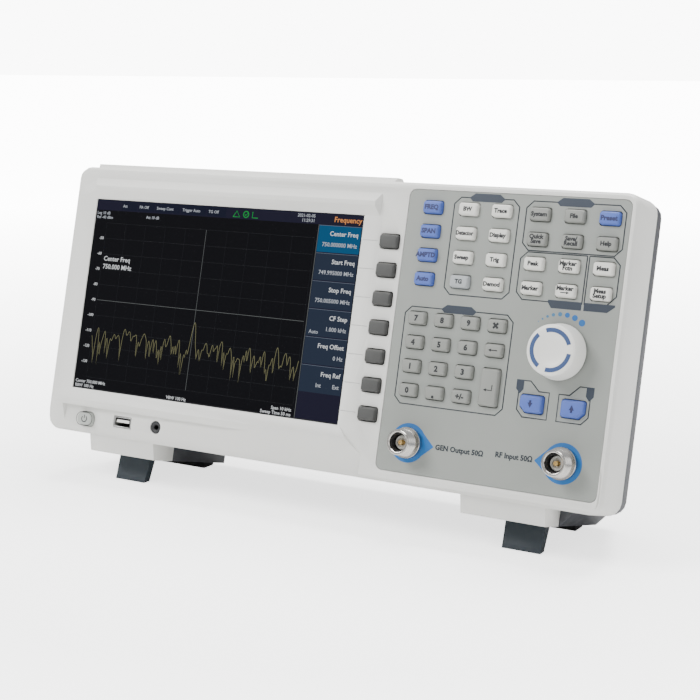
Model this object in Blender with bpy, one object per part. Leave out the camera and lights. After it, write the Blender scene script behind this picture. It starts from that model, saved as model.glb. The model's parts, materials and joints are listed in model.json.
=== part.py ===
"""Bench spectrum analyzer with a 10 inch display, standing on its two flip-out legs.

The instrument is modelled upright in its own frame: x to the right, y towards the back,
z up. y = 0 is the flat front face and z = 0 is the lower edge of the housing. An empty
then tilts the whole instrument back until its legs and rear feet stand on z = 0.
"""

import math

import bmesh
import bpy
from mathutils import Matrix, Vector

# ---------------------------------------------------------------- driving dimensions, in metres
GAP = 0.0003                # clearance between pieces that touch or seat in each other
WALL = 0.0025               # moulded housing walls

BODY_HALF_WIDTH = 0.2100    # widest, at the joint between bezel and rear cover
BODY_HEIGHT = 0.1890
BEZEL_DEPTH = 0.0300
FRONT_INSET = 0.0027        # the front face is this much narrower on each side
FRONT_WALL = 0.0055
BODY_CORNER = 0.0090
COVER_STRAIGHT = 0.0110     # length of the rear cover before it starts to taper
COVER_BACK = 0.0980         # y of the rear face
COVER_BACK_INSET = 0.0240   # taper of each side
COVER_BACK_DROP = 0.0205    # taper of the top
VENT_COUNT, VENT_PITCH = 6, 0.0068      # upright slots in each side of the cover
VENT_WIDTH, VENT_HEIGHT = 0.0030, 0.0480
VENT_START, VENT_LOW = 0.0120, 0.0620

SCREEN_LEFT, SCREEN_RIGHT = -0.1895, 0.0288
SCREEN_LOW, SCREEN_HIGH = 0.0315, 0.1657
GLASS_SUNK = 0.0008
LCD_MARGIN = 0.0068
LCD_DEPTH = 0.0130

HOOD_PROUD = 0.0050         # the hood over the screen stands this far forward
HOOD_TOP = 0.1920
HOOD_BACK = 0.0100
HOOD_LIP = 0.0030
HOOD_SLOPE = 0.0175         # height of the hood's sloped face
HOOD_END = 0.0400           # x where the raised display surround stops
CHIN_PROUD = 0.0030
CHIN_SLOPE = 0.0075         # height of the sill between the screen and the chin
CHIN_SET_BACK = 0.0050      # the chin leans back to this y at the bottom edge

PANEL_LEFT, PANEL_RIGHT = 0.0595, 0.2049
PANEL_LOW, PANEL_HIGH = 0.0082, 0.1839
PANEL_SUNK = 0.0003
PANEL_THICK = 0.0022
PANEL_CORNER = 0.0045
PANEL_LEDGE = 0.0040
BOARD_THICK = 0.0016
MAIN_BOARD_FRONT, SUPPLY_FRONT = 0.0220, 0.0420

KEY_WIDTH, KEY_HEIGHT = 0.0131, 0.0084
NUMBER_WIDTH, NUMBER_HEIGHT = 0.0124, 0.0084
SOFT_WIDTH, SOFT_HEIGHT = 0.0136, 0.0094
ARROW_WIDTH, ARROW_HEIGHT = 0.0150, 0.0110
ARROW_CUT = 0.0036          # chamfer of each arrow key's outer lower corner
POWER_WIDTH, POWER_HEIGHT = 0.0140, 0.0100
KEY_PROUD = 0.0030
KEY_TRAVEL = 0.0010         # how far a key is pressed in
KEY_FLANGE = 0.0010
KEY_FLANGE_THICK = 0.0014
KEY_CLEARANCE = 0.0003
KEY_DOME = 0.0018           # rubber dome left under a key that is pressed in
KEY_EDGE = 0.0008           # chamfer round the cap
KEY_TAPER = 0.0005
KEY_ROUND = 0.0011

SOFT_COUNT = 7
SOFT_X, SOFT_TOP, SOFT_PITCH = 0.0495, 0.1501, 0.01816
FUNCTION_X, FUNCTION_TOP, FUNCTION_PITCH = 0.0771, 0.1731, 0.01486
CONTROL_X = (0.1017, 0.1238)
UTILITY_X, UTILITY_TOP, UTILITY_PITCH = (0.1489, 0.1710, 0.1927), 0.1725, 0.01497
MARKER_TOP, MARKER_PITCH = 0.1429, 0.0147
NUMBER_X, NUMBER_TOP = 0.0761, 0.1039
NUMBER_PITCH_X, NUMBER_PITCH_Z = 0.0180, 0.0149
ARROW_X, ARROW_Z = (0.1583, 0.1844), 0.0600
LANDING_LEFT, LANDING_BEND, LANDING_END = -0.1945, -0.0600, -0.0200
LANDING_DEPTH, LANDING_MARGIN = 0.0022, 0.0045
CRESCENT_X, CRESCENT_LOW = 0.2050, 0.0045
CRESCENT_HEIGHT, CRESCENT_BOW = 0.0230, 0.0022
CRESCENT_WIDTH, CRESCENT_DEPTH = 0.0012, 0.0006
POWER_X, POWER_Z = -0.1745, 0.0108
POWER_ROUND = 0.0040        # corner radius of the oval power key
POWER_PROUD = 0.0008

KNOB_X, KNOB_Z = 0.1716, 0.0923
KNOB_RADIUS = 0.0175
KNOB_HEIGHT = 0.0135
KNOB_LIFT = 0.0010
KNOB_DISH, KNOB_SKIRT = 0.0012, 0.0020
SHAFT_RADIUS = 0.0030

CONNECTOR_X, CONNECTOR_Z = (0.0800, 0.1817), (0.0269, 0.0279)
CONNECTOR_RADIUS = 0.00795
CONNECTOR_LENGTH = 0.0140
CONNECTOR_WALL = 0.0020     # threaded barrel, between its thread and its mouth
CONNECTOR_COLLAR = 0.0017   # how far the clamping collar stands out from the barrel

USB_X, USB_Z = -0.1428, 0.0121
USB_WIDTH, USB_HEIGHT = 0.0150, 0.0076
JACK_X, JACK_Z = -0.1140, 0.0123
JACK_RADIUS = 0.0042

FOOT_INNER, FOOT_OUTER = 0.1170, 0.1725
FOOT_DROP = 0.0107
RAIL_SLOPE = 0.0110         # the rails flare out by this much up to the housing
RAIL_BACK = 0.0940
LEG_CENTRE, LEG_WIDTH = 0.1507, 0.0278
LEG_THICK = 0.0055
LEG_LENGTH = 0.0255
LEG_TAPER, LEG_CORNER = 0.0011, 0.0025
LEG_SPARE = 0.0030          # trimmed off level with the surface it stands on
LEG_LEAN = math.radians(9)
LEG_AXIS_Y, LEG_AXIS_Z = 0.0360, -0.0031
LEG_PIN_RADIUS, LEG_PIN_LENGTH = 0.0015, 0.0025
REAR_FOOT_Y, REAR_FOOT_LENGTH, REAR_FOOT_WIDTH = 0.0800, 0.0120, 0.0400
REAR_FOOT_DROP = 0.0025

HANDLE_HALF_WIDTH = 0.0750
HANDLE_POCKET_START, HANDLE_POCKET_LENGTH = 0.0060, 0.0480
HANDLE_POCKET_DEPTH = 0.0130
HANDLE_AXIS = 0.0065        # from the pocket's front wall, along the slope
HANDLE_REACH = 0.0340
HANDLE_ARM = 0.0085
HANDLE_PIN_RADIUS, HANDLE_PIN_LENGTH = 0.0025, 0.0040

FAN_X, FAN_Z, FAN_SIZE, FAN_DEPTH = 0.1100, 0.0950, 0.0600, 0.0150
FAN_WALL = 0.0020           # the fan's frame at its thinnest
FAN_HUB = 0.0120
FAN_BLADES = 7
GUARD_RINGS, GUARD_CENTRE = 3, 0.0080
GUARD_PITCH, GUARD_SLOT = 0.0077, 0.0052
INLET_X, INLET_Z = -0.1450, 0.0450
INLET_WIDTH, INLET_HEIGHT, INLET_DEPTH = 0.0580, 0.0310, 0.0260
BNC_X, BNC_Z, BNC_RADIUS, BNC_PITCH = 0.0150, 0.0400, 0.0048, 0.0260
BNC_LENGTH = 0.0110
LAN_X, LAN_WIDTH, LAN_HEIGHT = -0.0420, 0.0160, 0.0135
USB_B_X, USB_B_WIDTH, USB_B_HEIGHT = -0.0730, 0.0120, 0.0110
PORT_Z = 0.0400
PORT_DEPTH = 0.0150

CORNER_STEPS = 4            # points on a housing corner
CRESCENT_STEPS = 8

# ---------------------------------------------------------------- derived sizes
FRONT_HALF_WIDTH = BODY_HALF_WIDTH - FRONT_INSET
COVER_FRONT = BEZEL_DEPTH + GAP
COVER_BEND = BEZEL_DEPTH + COVER_STRAIGHT
COVER_HALF_WIDTH = BODY_HALF_WIDTH - 0.0010
COVER_TOP = BODY_HEIGHT - 0.0005
COVER_LOW = 0.0005
FAN_BORE = FAN_SIZE / 2 - FAN_WALL
CONNECTOR_FLANGE = CONNECTOR_RADIUS + CONNECTOR_COLLAR
THROUGH_FRONT = (-0.010, 0.015)                     # y range of a cutter through the front wall
THROUGH_BACK = (COVER_BACK - 0.010, COVER_BACK + 0.010)
TOP_SLOPE = math.atan2(COVER_BACK_DROP, COVER_BACK - COVER_BEND)
CHIN_LEAN = (CHIN_PROUD + CHIN_SET_BACK) / (SCREEN_LOW - CHIN_SLOPE)
PANEL_BACK = PANEL_SUNK + PANEL_THICK
KEY_BOARD_FRONT = PANEL_BACK + GAP + KEY_FLANGE_THICK + KEY_TRAVEL + KEY_DOME
LEG_TIP_Y = LEG_AXIS_Y - LEG_LENGTH * math.sin(LEG_LEAN)
LEG_TIP_Z = LEG_AXIS_Z - LEG_LENGTH * math.cos(LEG_LEAN)
FOOT_TIP_Y = REAR_FOOT_Y + REAR_FOOT_LENGTH
FOOT_TIP_Z = -FOOT_DROP - REAR_FOOT_DROP
TILT = math.atan2(FOOT_TIP_Z - LEG_TIP_Z, FOOT_TIP_Y - LEG_TIP_Y)


def clear_scene():
    for item in list(bpy.data.objects):
        bpy.data.objects.remove(item, do_unlink=True)


def material(name, colour, roughness, metallic=0.0):
    made = bpy.data.materials.new(name)
    made.use_nodes = True
    shader = made.node_tree.nodes["Principled BSDF"]
    shader.inputs["Base Color"].default_value = (*colour, 1.0)
    shader.inputs["Roughness"].default_value = roughness
    shader.inputs["Metallic"].default_value = metallic
    return made


def piece(name, mesh, colour, place=(0, 0, 0), smooth=False):
    """A visible piece in the instrument's frame, with its own material."""
    made = bpy.data.objects.new(name, mesh)
    bpy.context.collection.objects.link(made)
    made.parent = instrument
    made.location = place
    mesh.materials.clear()
    mesh.materials.append(material(name, *colour))
    if smooth:
        mesh.shade_smooth()
        mesh.set_sharp_from_angle(angle=math.radians(35))
    return made


def helper(name, mesh, place=(0, 0, 0)):
    """A cutting or joining shape: it is never drawn."""
    made = bpy.data.objects.new(name, mesh)
    bpy.context.collection.objects.link(made)
    made.parent = instrument
    made.location = place
    made.hide_render = True
    made.display_type = "WIRE"
    return made


def combine(target, other, operation="DIFFERENCE"):
    step = target.modifiers.new(other.name, "BOOLEAN")
    step.operation = operation
    step.solver = "EXACT"
    step.object = other
    return target


def mesh_from(bm, name):
    bmesh.ops.recalc_face_normals(bm, faces=bm.faces)
    made = bpy.data.meshes.new(name)
    bm.to_mesh(made)
    bm.free()
    return made


def loft(name, rings):
    """A closed skin through rings that have the same number of points."""
    bm = bmesh.new()
    rows = [[bm.verts.new(point) for point in ring] for ring in rings]
    count = len(rows[0])
    for low, high in zip(rows, rows[1:]):
        for i in range(count):
            j = (i + 1) % count
            bm.faces.new((low[i], low[j], high[j], high[i]))
    bm.faces.new(rows[0])
    bm.faces.new(list(reversed(rows[-1])))
    return mesh_from(bm, name)


def box(name, low, high):
    xs, ys, zs = zip(low, high)
    rings = [[(x, y, z) for x, z in ((xs[0], zs[0]), (xs[1], zs[0]), (xs[1], zs[1]), (xs[0], zs[1]))]
             for y in ys]
    return loft(name, rings)


def rounded(half_width, low, high, radius, y, centre=0.0, steps=CORNER_STEPS, cut=None):
    """A rounded rectangle in the plane y, from z = low to high. cut gives one lower corner another size:
    (side, size), where side is -1 for the left and 1 for the right."""
    points = []
    corners = ((1, low, -90), (1, high, 0), (-1, high, 90), (-1, low, 180))
    for side, z, start in corners:
        size = cut[1] if cut and (side, z) == (cut[0], low) else radius
        middle_x = centre + side * (half_width - size)
        middle_z = z + size if z == low else z - size
        for i in range(steps + 1):
            angle = math.radians(start + 90 * i / steps)
            points.append((middle_x + size * math.cos(angle), y, middle_z + size * math.sin(angle)))
    return points


def extrude_x(name, profile, x_low, x_high):
    """A prism along x with a profile of (y, z) points."""
    return loft(name, [[(x, y, z) for y, z in profile] for x in (x_low, x_high)])


def extrude_y(name, profile, y_low, y_high):
    return loft(name, [[(x, y, z) for x, z in profile] for y in (y_low, y_high)])


def turned(name, profile, sides=32, axis="Y"):
    """A solid of revolution, from a profile of (radius, along) points."""
    bm = bmesh.new()
    rows = []
    for radius, along in profile:
        if radius < 1e-9:
            rows.append([bm.verts.new((0, along, 0))])
            continue
        turn = [2 * math.pi * i / sides for i in range(sides)]
        rows.append([bm.verts.new((radius * math.cos(a), along, radius * math.sin(a))) for a in turn])
    for low, high in zip(rows, rows[1:] + rows[:1]):
        for i in range(sides):
            j = (i + 1) % sides
            corners = [low[i % len(low)], low[j % len(low)], high[j % len(high)], high[i % len(high)]]
            corners = list(dict.fromkeys(corners))
            if len(corners) > 2:
                bm.faces.new(corners)
    made = mesh_from(bm, name)
    if axis == "X":
        made.transform(Matrix.Rotation(math.radians(-90), 4, "Z"))
    return made


def rod(name, radius, ends, sides=16, axis="Y"):
    """A plain cylinder along y or x."""
    return turned(name, [(0, ends[0]), (radius, ends[0]), (radius, ends[1]), (0, ends[1])], sides, axis)


def key_mesh(name, width, height, back, radius=KEY_ROUND, flange=True, proud=KEY_PROUD, steps=1, cut=None):
    """A moulded key: flange behind the panel, stem through it, tapered cap with a chamfered edge."""

    def ring(y, grow):
        half = height / 2 + grow
        return rounded(width / 2 + grow, -half, half, radius, y, steps=steps, cut=cut)

    rings = [ring(-proud, -KEY_EDGE - KEY_TAPER), ring(-proud + KEY_EDGE, -KEY_TAPER)]
    if flange:
        low = back + GAP
        rings += [ring(low, 0), ring(low, KEY_FLANGE), ring(low + KEY_FLANGE_THICK, KEY_FLANGE)]
    else:
        rings.append(ring(back + GAP, 0))
    return loft(name, rings)


def hole_ring(width, height, x, z, cut=None):
    """The outline of a key's hole as a function of y: the key's own outline with a clearance all round."""
    grow = KEY_CLEARANCE
    return lambda y: rounded(width / 2 + grow, z - height / 2 - grow, z + height / 2 + grow, KEY_ROUND, y,
                             centre=x, steps=1, cut=cut)


def key_places():
    """Every key of the control panel: name, x, z, width, height."""
    places = []
    for i, name in enumerate(("frequency", "span", "amplitude", "auto")):
        places.append((name + "_key", FUNCTION_X, FUNCTION_TOP - i * FUNCTION_PITCH, KEY_WIDTH, KEY_HEIGHT))
    places.append(("preset_key", UTILITY_X[2], UTILITY_TOP, KEY_WIDTH, KEY_HEIGHT))
    for row, names in enumerate((("7", "8", "9", "clear"), ("4", "5", "6", "back"), ("1", "2", "3", "enter"),
                                 ("0", "point", "sign"))):
        for column, label in enumerate(names):
            x = NUMBER_X + column * NUMBER_PITCH_X
            z = NUMBER_TOP - row * NUMBER_PITCH_Z
            height = NUMBER_HEIGHT
            if label == "enter":
                z -= NUMBER_PITCH_Z / 2
                height += NUMBER_PITCH_Z
            places.append((f"number_key_{label}" if label.isdigit() else f"{label}_key",
                           x, z, NUMBER_WIDTH, height))
    return places


def mat_key_places():
    """The function keys that are moulded in one piece with the silicone mat."""
    places = []
    for x in CONTROL_X:
        places += [(x, FUNCTION_TOP - i * FUNCTION_PITCH) for i in range(4)]
    for column, x in enumerate(UTILITY_X):
        rows = (1,) if column == 2 else (0, 1)
        places += [(x, UTILITY_TOP - i * UTILITY_PITCH) for i in rows]
        places += [(x, MARKER_TOP - i * MARKER_PITCH) for i in range(2)]
    return places


# ---------------------------------------------------------------- the frame everything stands in
clear_scene()
instrument = bpy.data.objects.new("instrument_frame", None)
bpy.context.collection.objects.link(instrument)

CASE_WHITE = ((0.72, 0.72, 0.69), 0.45)
PANEL_GREY = ((0.40, 0.42, 0.40), 0.50)
COVER_DARK = ((0.075, 0.078, 0.090), 0.55)
KEY_WHITE = ((0.70, 0.70, 0.66), 0.55)
KEY_GREY = ((0.38, 0.39, 0.36), 0.55)
KEY_DARK = ((0.13, 0.13, 0.13), 0.60)
KEY_BLUE = ((0.16, 0.26, 0.58), 0.55)
RUBBER = ((0.035, 0.038, 0.042), 0.80)
SLATE = ((0.055, 0.068, 0.080), 0.50)
NICKEL = ((0.62, 0.60, 0.56), 0.25, 1.0)
BOARD_GREEN = ((0.02, 0.16, 0.07), 0.50)
TIN = ((0.55, 0.56, 0.57), 0.35, 1.0)
GLASS_BLACK = ((0.010, 0.011, 0.014), 0.12)
SOCKET_BLACK = ((0.020, 0.020, 0.022), 0.50)


# ---------------------------------------------------------------- front bezel
def bezel_shape():
    rings = [rounded(FRONT_HALF_WIDTH, 0.0030, BODY_HEIGHT - 0.0025, 0.0065, 0.0),
             rounded(FRONT_HALF_WIDTH + 0.0015, 0.0008, BODY_HEIGHT - 0.0006, 0.0080, 0.0030),
             rounded(BODY_HALF_WIDTH, 0.0, BODY_HEIGHT, BODY_CORNER, BEZEL_DEPTH)]
    bezel = piece("front_bezel", loft("front_bezel", rings), CASE_WHITE)

    # The lower front leans back below the screen. This takes the flat face away there.
    chin_start = SCREEN_LOW - CHIN_SLOPE
    level = chin_start - CHIN_PROUD / CHIN_LEAN
    front = -0.010
    relief = [(front, level), (0.0, level), (CHIN_SET_BACK + CHIN_LEAN * 0.002, -0.002), (front, -0.002)]
    cut = extrude_x("chin_relief", relief, -BODY_HALF_WIDTH - 0.005, HOOD_END + 0.008)
    combine(bezel, helper("chin_relief", cut))

    # The chin: a sill that rises from the screen, then the leaning face.
    inside = FRONT_WALL - 0.0005
    left = -FRONT_HALF_WIDTH
    right = HOOD_END + 0.008
    chin = [((left, inside, SCREEN_LOW), (SCREEN_RIGHT + 0.0012, inside, SCREEN_LOW)),
            ((left, 0.0, SCREEN_LOW), (SCREEN_RIGHT + 0.0012, 0.0, SCREEN_LOW)),
            ((left + CHIN_PROUD, -CHIN_PROUD, chin_start), (HOOD_END - CHIN_PROUD, -CHIN_PROUD, chin_start)),
            ((left, 0.0, level), (right, 0.0, level)),
            ((left, inside, level), (right, inside, level))]
    combine(bezel, helper("chin", loft("chin", [[a for a, _ in chin], [b for _, b in chin]])), "UNION")

    # The hood over the screen, mitred back to the left side and to the flat face on the right.
    hood = []
    lip_low = HOOD_TOP - HOOD_SLOPE - HOOD_LIP
    for y, z in ((inside, SCREEN_HIGH), (0.0, SCREEN_HIGH), (-HOOD_PROUD, lip_low),
                 (-HOOD_PROUD, lip_low + HOOD_LIP), (HOOD_BACK, HOOD_TOP), (HOOD_BACK + 0.0035, HOOD_TOP),
                 (HOOD_BACK + 0.0080, BODY_HEIGHT - 0.0030), (inside, BODY_HEIGHT - 0.0080)):
        proud = max(0.0, -y)
        start = left + 3.9 * proud
        if z > BODY_HEIGHT:
            start += 0.0075
        hood.append(((start, y, z), (HOOD_END + 0.4 * y, y, z)))
    combine(bezel, helper("hood", loft("hood", [[a for a, _ in hood], [b for _, b in hood]])), "UNION")

    # The two foot blocks under the housing, which hide the legs' hinges from the front.
    block = [(CHIN_SET_BACK, 0.0020), (CHIN_SET_BACK + CHIN_LEAN * FOOT_DROP, -FOOT_DROP + 0.0006),
             (CHIN_SET_BACK + CHIN_LEAN * FOOT_DROP + 0.0006, -FOOT_DROP), (BEZEL_DEPTH, -FOOT_DROP),
             (BEZEL_DEPTH, 0.0020)]
    for side in (-1, 1):
        ends = sorted((side * FOOT_INNER, side * FOOT_OUTER))
        name = f"foot_block_{'left' if side < 0 else 'right'}"
        combine(bezel, helper(name, extrude_x(name, block, *ends)), "UNION")

    # The inside, open at the back.
    inner = [rounded(FRONT_HALF_WIDTH - WALL, 0.0038, BODY_HEIGHT - 0.0060, 0.0060, FRONT_WALL),
             rounded(BODY_HALF_WIDTH - WALL - 0.0012, WALL, BODY_HEIGHT - WALL, 0.0070, FRONT_WALL + 0.0045),
             rounded(BODY_HALF_WIDTH - WALL, WALL, BODY_HEIGHT - WALL, 0.0070, BEZEL_DEPTH + 0.0010)]
    combine(bezel, helper("bezel_inside", loft("bezel_inside", inner)))

    # The window for the screen and the sunk seat and window of the control panel.
    window = box("screen_window", (SCREEN_LEFT, -0.020, SCREEN_LOW), (SCREEN_RIGHT, 0.020, SCREEN_HIGH))
    combine(bezel, helper("screen_window", window))
    middle = (PANEL_LEFT + PANEL_RIGHT) / 2
    half = (PANEL_RIGHT - PANEL_LEFT) / 2
    seat = [rounded(half + GAP, PANEL_LOW - GAP, PANEL_HIGH + GAP, PANEL_CORNER, y, centre=middle)
            for y in (-0.010, PANEL_BACK + GAP)]
    combine(bezel, helper("panel_seat", loft("panel_seat", seat)))
    opening = [rounded(half - PANEL_LEDGE, PANEL_LOW + PANEL_LEDGE, PANEL_HIGH - PANEL_LEDGE, 0.002, y,
                       centre=middle) for y in (-0.010, 0.020)]
    combine(bezel, helper("panel_window", loft("panel_window", opening)))

    # Seven soft-key openings beside the screen.
    for i in range(SOFT_COUNT):
        ring = hole_ring(SOFT_WIDTH, SOFT_HEIGHT, SOFT_X, SOFT_TOP - i * SOFT_PITCH)
        name = f"soft_key_hole_{i + 1}"
        combine(bezel, helper(name, loft(name, [ring(y) for y in THROUGH_FRONT])))

    # The flat landing cut into the leaning chin for the power key and the sockets.
    front = THROUGH_FRONT[0]
    landing = [(LANDING_LEFT - 0.0020, front), (LANDING_LEFT, LANDING_DEPTH),
               (LANDING_BEND, LANDING_DEPTH - 0.0012), (LANDING_END, -CHIN_PROUD), (LANDING_END, front)]
    rings = [[(x, y, z) for x, y in landing] for z in (-0.0010, SCREEN_LOW - CHIN_SLOPE - LANDING_MARGIN)]
    combine(bezel, helper("chin_landing", loft("chin_landing", rings)))
    power = [rounded(POWER_WIDTH / 2 + KEY_CLEARANCE, POWER_Z - POWER_HEIGHT / 2 - KEY_CLEARANCE,
                     POWER_Z + POWER_HEIGHT / 2 + KEY_CLEARANCE, POWER_ROUND + KEY_CLEARANCE, y,
                     centre=POWER_X) for y in THROUGH_FRONT]
    combine(bezel, helper("power_hole", loft("power_hole", power)))
    usb = box("usb_hole", (USB_X - USB_WIDTH / 2 - GAP, THROUGH_FRONT[0], USB_Z - USB_HEIGHT / 2 - GAP),
              (USB_X + USB_WIDTH / 2 + GAP, THROUGH_FRONT[1], USB_Z + USB_HEIGHT / 2 + GAP))
    combine(bezel, helper("usb_hole", usb))
    jack = rod("jack_hole", JACK_RADIUS + GAP, THROUGH_FRONT, 20)
    combine(bezel, helper("jack_hole", jack, (JACK_X, 0, JACK_Z)))

    # A shallow crescent at the lower right of the rim, where the flat face starts to turn the corner.
    middle_z = CRESCENT_LOW + CRESCENT_HEIGHT / 2
    bow = CRESCENT_HEIGHT / 2
    turns = [math.radians(-90 + 180 * i / CRESCENT_STEPS) for i in range(CRESCENT_STEPS + 1)]
    outer = [(CRESCENT_X + CRESCENT_BOW * math.cos(a), middle_z + bow * math.sin(a)) for a in turns]
    inner = [(CRESCENT_X + (CRESCENT_BOW - CRESCENT_WIDTH) * math.cos(a), middle_z + bow * math.sin(a))
             for a in reversed(turns[1:-1])]
    groove = extrude_y("crescent", outer + inner, THROUGH_FRONT[0], CRESCENT_DEPTH)
    combine(bezel, helper("crescent", groove))
    return bezel


# ---------------------------------------------------------------- rear cover
def slope_frame(along, depth, x=0.0):
    """A point on the cover's sloped top: distance down the slope from the bend, and depth under it."""
    y = COVER_BEND + along * math.cos(TOP_SLOPE) - depth * math.sin(TOP_SLOPE)
    z = COVER_TOP - along * math.sin(TOP_SLOPE) - depth * math.cos(TOP_SLOPE)
    return (x, y, z)


def slope_box(name, half_width, start, end, top, bottom):
    rings = []
    for x in (-half_width, half_width):
        corners = ((start, top), (end, top), (end, bottom), (start, bottom))
        rings.append([slope_frame(along, depth, x) for along, depth in corners])
    return loft(name, rings)


def cover_shape():
    back_half = COVER_HALF_WIDTH - COVER_BACK_INSET
    outer = [rounded(COVER_HALF_WIDTH, COVER_LOW, COVER_TOP, BODY_CORNER, COVER_FRONT),
             rounded(COVER_HALF_WIDTH, COVER_LOW, COVER_TOP, BODY_CORNER, COVER_BEND),
             rounded(back_half, COVER_LOW, COVER_TOP - COVER_BACK_DROP, BODY_CORNER, COVER_BACK)]
    cover = piece("rear_cover", loft("rear_cover", outer), COVER_DARK)
    low, corner = COVER_LOW + WALL, BODY_CORNER - WALL
    inner = [rounded(half, low, high - WALL, corner, y) for half, high, y in
             ((COVER_HALF_WIDTH - WALL, COVER_TOP, COVER_FRONT - 0.0010),
              (COVER_HALF_WIDTH - WALL, COVER_TOP, COVER_BEND - 0.0005),
              (back_half - WALL, COVER_TOP - COVER_BACK_DROP, COVER_BACK - WALL))]
    cavity = helper("cover_inside", loft("cover_inside", inner))
    pocket_end = HANDLE_POCKET_START + HANDLE_POCKET_LENGTH
    walls = slope_box("pocket_walls", HANDLE_HALF_WIDTH + WALL * 2.4, HANDLE_POCKET_START - WALL,
                      pocket_end + WALL, -0.02, HANDLE_POCKET_DEPTH + WALL)
    combine(cavity, helper("pocket_walls", walls))
    combine(cover, cavity)
    pocket = slope_box("handle_pocket", HANDLE_HALF_WIDTH + GAP, HANDLE_POCKET_START, pocket_end, -0.02,
                       HANDLE_POCKET_DEPTH)
    combine(cover, helper("handle_pocket", pocket))
    reach = HANDLE_HALF_WIDTH + HANDLE_PIN_LENGTH + GAP
    pin = rod("handle_pin_hole", HANDLE_PIN_RADIUS + GAP, (-reach, reach), axis="X")
    combine(cover, helper("handle_pin_hole", pin, handle_axis()))

    # The rails under the cover carry the legs' hinges and, at the back, the rubber feet.
    for side in (-1, 1):
        name = "left" if side < 0 else "right"
        top = COVER_LOW + 0.0010
        profile = [(side * x, z) for x, z in ((FOOT_INNER, top), (FOOT_INNER, -FOOT_DROP), (FOOT_OUTER, -FOOT_DROP),
                                              (FOOT_OUTER + RAIL_SLOPE, top))]
        rail = extrude_y(f"rail_{name}", profile, COVER_FRONT, RAIL_BACK)
        combine(cover, helper(f"rail_{name}", rail), "UNION")
        half = LEG_WIDTH / 2 + KEY_CLEARANCE
        pocket = box(f"leg_pocket_{name}", (side * LEG_CENTRE - half, COVER_FRONT - 0.001, -0.02),
                     (side * LEG_CENTRE + half, LEG_AXIS_Y + LEG_LENGTH + 0.0015, COVER_LOW - 0.0002))
        combine(cover, helper(f"leg_pocket_{name}", pocket))
        reach = LEG_WIDTH / 2 + LEG_PIN_LENGTH + GAP
        hole = rod(f"leg_pin_hole_{name}", LEG_PIN_RADIUS + GAP, (-reach, reach), axis="X")
        combine(cover, helper(f"leg_pin_hole_{name}", hole, (side * LEG_CENTRE, LEG_AXIS_Y, LEG_AXIS_Z)))

    # Openings in the rear wall.
    near, far = THROUGH_BACK
    inlet = box("inlet_hole", (INLET_X - INLET_WIDTH / 2 - GAP, near, INLET_Z - INLET_HEIGHT / 2 - GAP),
                (INLET_X + INLET_WIDTH / 2 + GAP, far, INLET_Z + INLET_HEIGHT / 2 + GAP))
    combine(cover, helper("inlet_hole", inlet))
    for name, x, width, height in (("lan_hole", LAN_X, LAN_WIDTH, LAN_HEIGHT),
                                   ("usb_b_hole", USB_B_X, USB_B_WIDTH, USB_B_HEIGHT)):
        hole = box(name, (x - width / 2 - GAP, near, PORT_Z - height / 2 - GAP),
                   (x + width / 2 + GAP, far, PORT_Z + height / 2 + GAP))
        combine(cover, helper(name, hole))
    for i in range(3):
        hole = rod(f"bnc_hole_{i}", BNC_RADIUS + GAP, THROUGH_BACK)
        combine(cover, helper(f"bnc_hole_{i}", hole, (BNC_X + i * BNC_PITCH, 0, BNC_Z)))
    combine(cover, helper("fan_hole", rod("fan_hole", FAN_BORE, THROUGH_BACK, 32), (FAN_X, 0, FAN_Z)))

    # Upright air slots through the tapered sides.
    for side in (-1, 1):
        for i in range(VENT_COUNT):
            y = COVER_BEND + VENT_START + i * VENT_PITCH
            ends = sorted((side * (back_half - COVER_BACK_INSET), side * (COVER_HALF_WIDTH + WALL)))
            name = f"side_vent_{side}_{i}"
            slot = box(name, (ends[0], y, VENT_LOW), (ends[1], y + VENT_WIDTH, VENT_LOW + VENT_HEIGHT))
            combine(cover, helper(name, slot))
    return cover


def handle_axis():
    return slope_frame(HANDLE_POCKET_START + HANDLE_AXIS, HANDLE_AXIS)


def panel_shape():
    middle = (PANEL_LEFT + PANEL_RIGHT) / 2
    half = (PANEL_RIGHT - PANEL_LEFT) / 2
    plate = loft("panel_overlay", [rounded(half, PANEL_LOW, PANEL_HIGH, PANEL_CORNER, y, centre=middle)
                                   for y in (PANEL_SUNK, PANEL_BACK)])
    panel = piece("panel_overlay", plate, PANEL_GREY)
    holes = [(x, z, width, height, None) for _, x, z, width, height in key_places()]
    holes += [(x, z, KEY_WIDTH, KEY_HEIGHT, None) for x, z in mat_key_places()]
    holes += [(x, ARROW_Z, ARROW_WIDTH, ARROW_HEIGHT, (side, ARROW_CUT)) for x, side in zip(ARROW_X, (-1, 1))]
    for i, (x, z, width, height, cut) in enumerate(holes):
        ring = hole_ring(width, height, x, z, cut)
        name = f"panel_hole_{i}"
        combine(panel, helper(name, loft(name, [ring(y) for y in THROUGH_FRONT])))
    rounds = [(KNOB_X, KNOB_Z, SHAFT_RADIUS + 0.0015)]
    rounds += [(x, z, CONNECTOR_RADIUS + GAP) for x, z in zip(CONNECTOR_X, CONNECTOR_Z)]
    for i, (x, z, radius) in enumerate(rounds):
        name = f"panel_round_{i}"
        combine(panel, helper(name, rod(name, radius, THROUGH_FRONT, 24), (x, 0, z)))
    return panel


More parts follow.
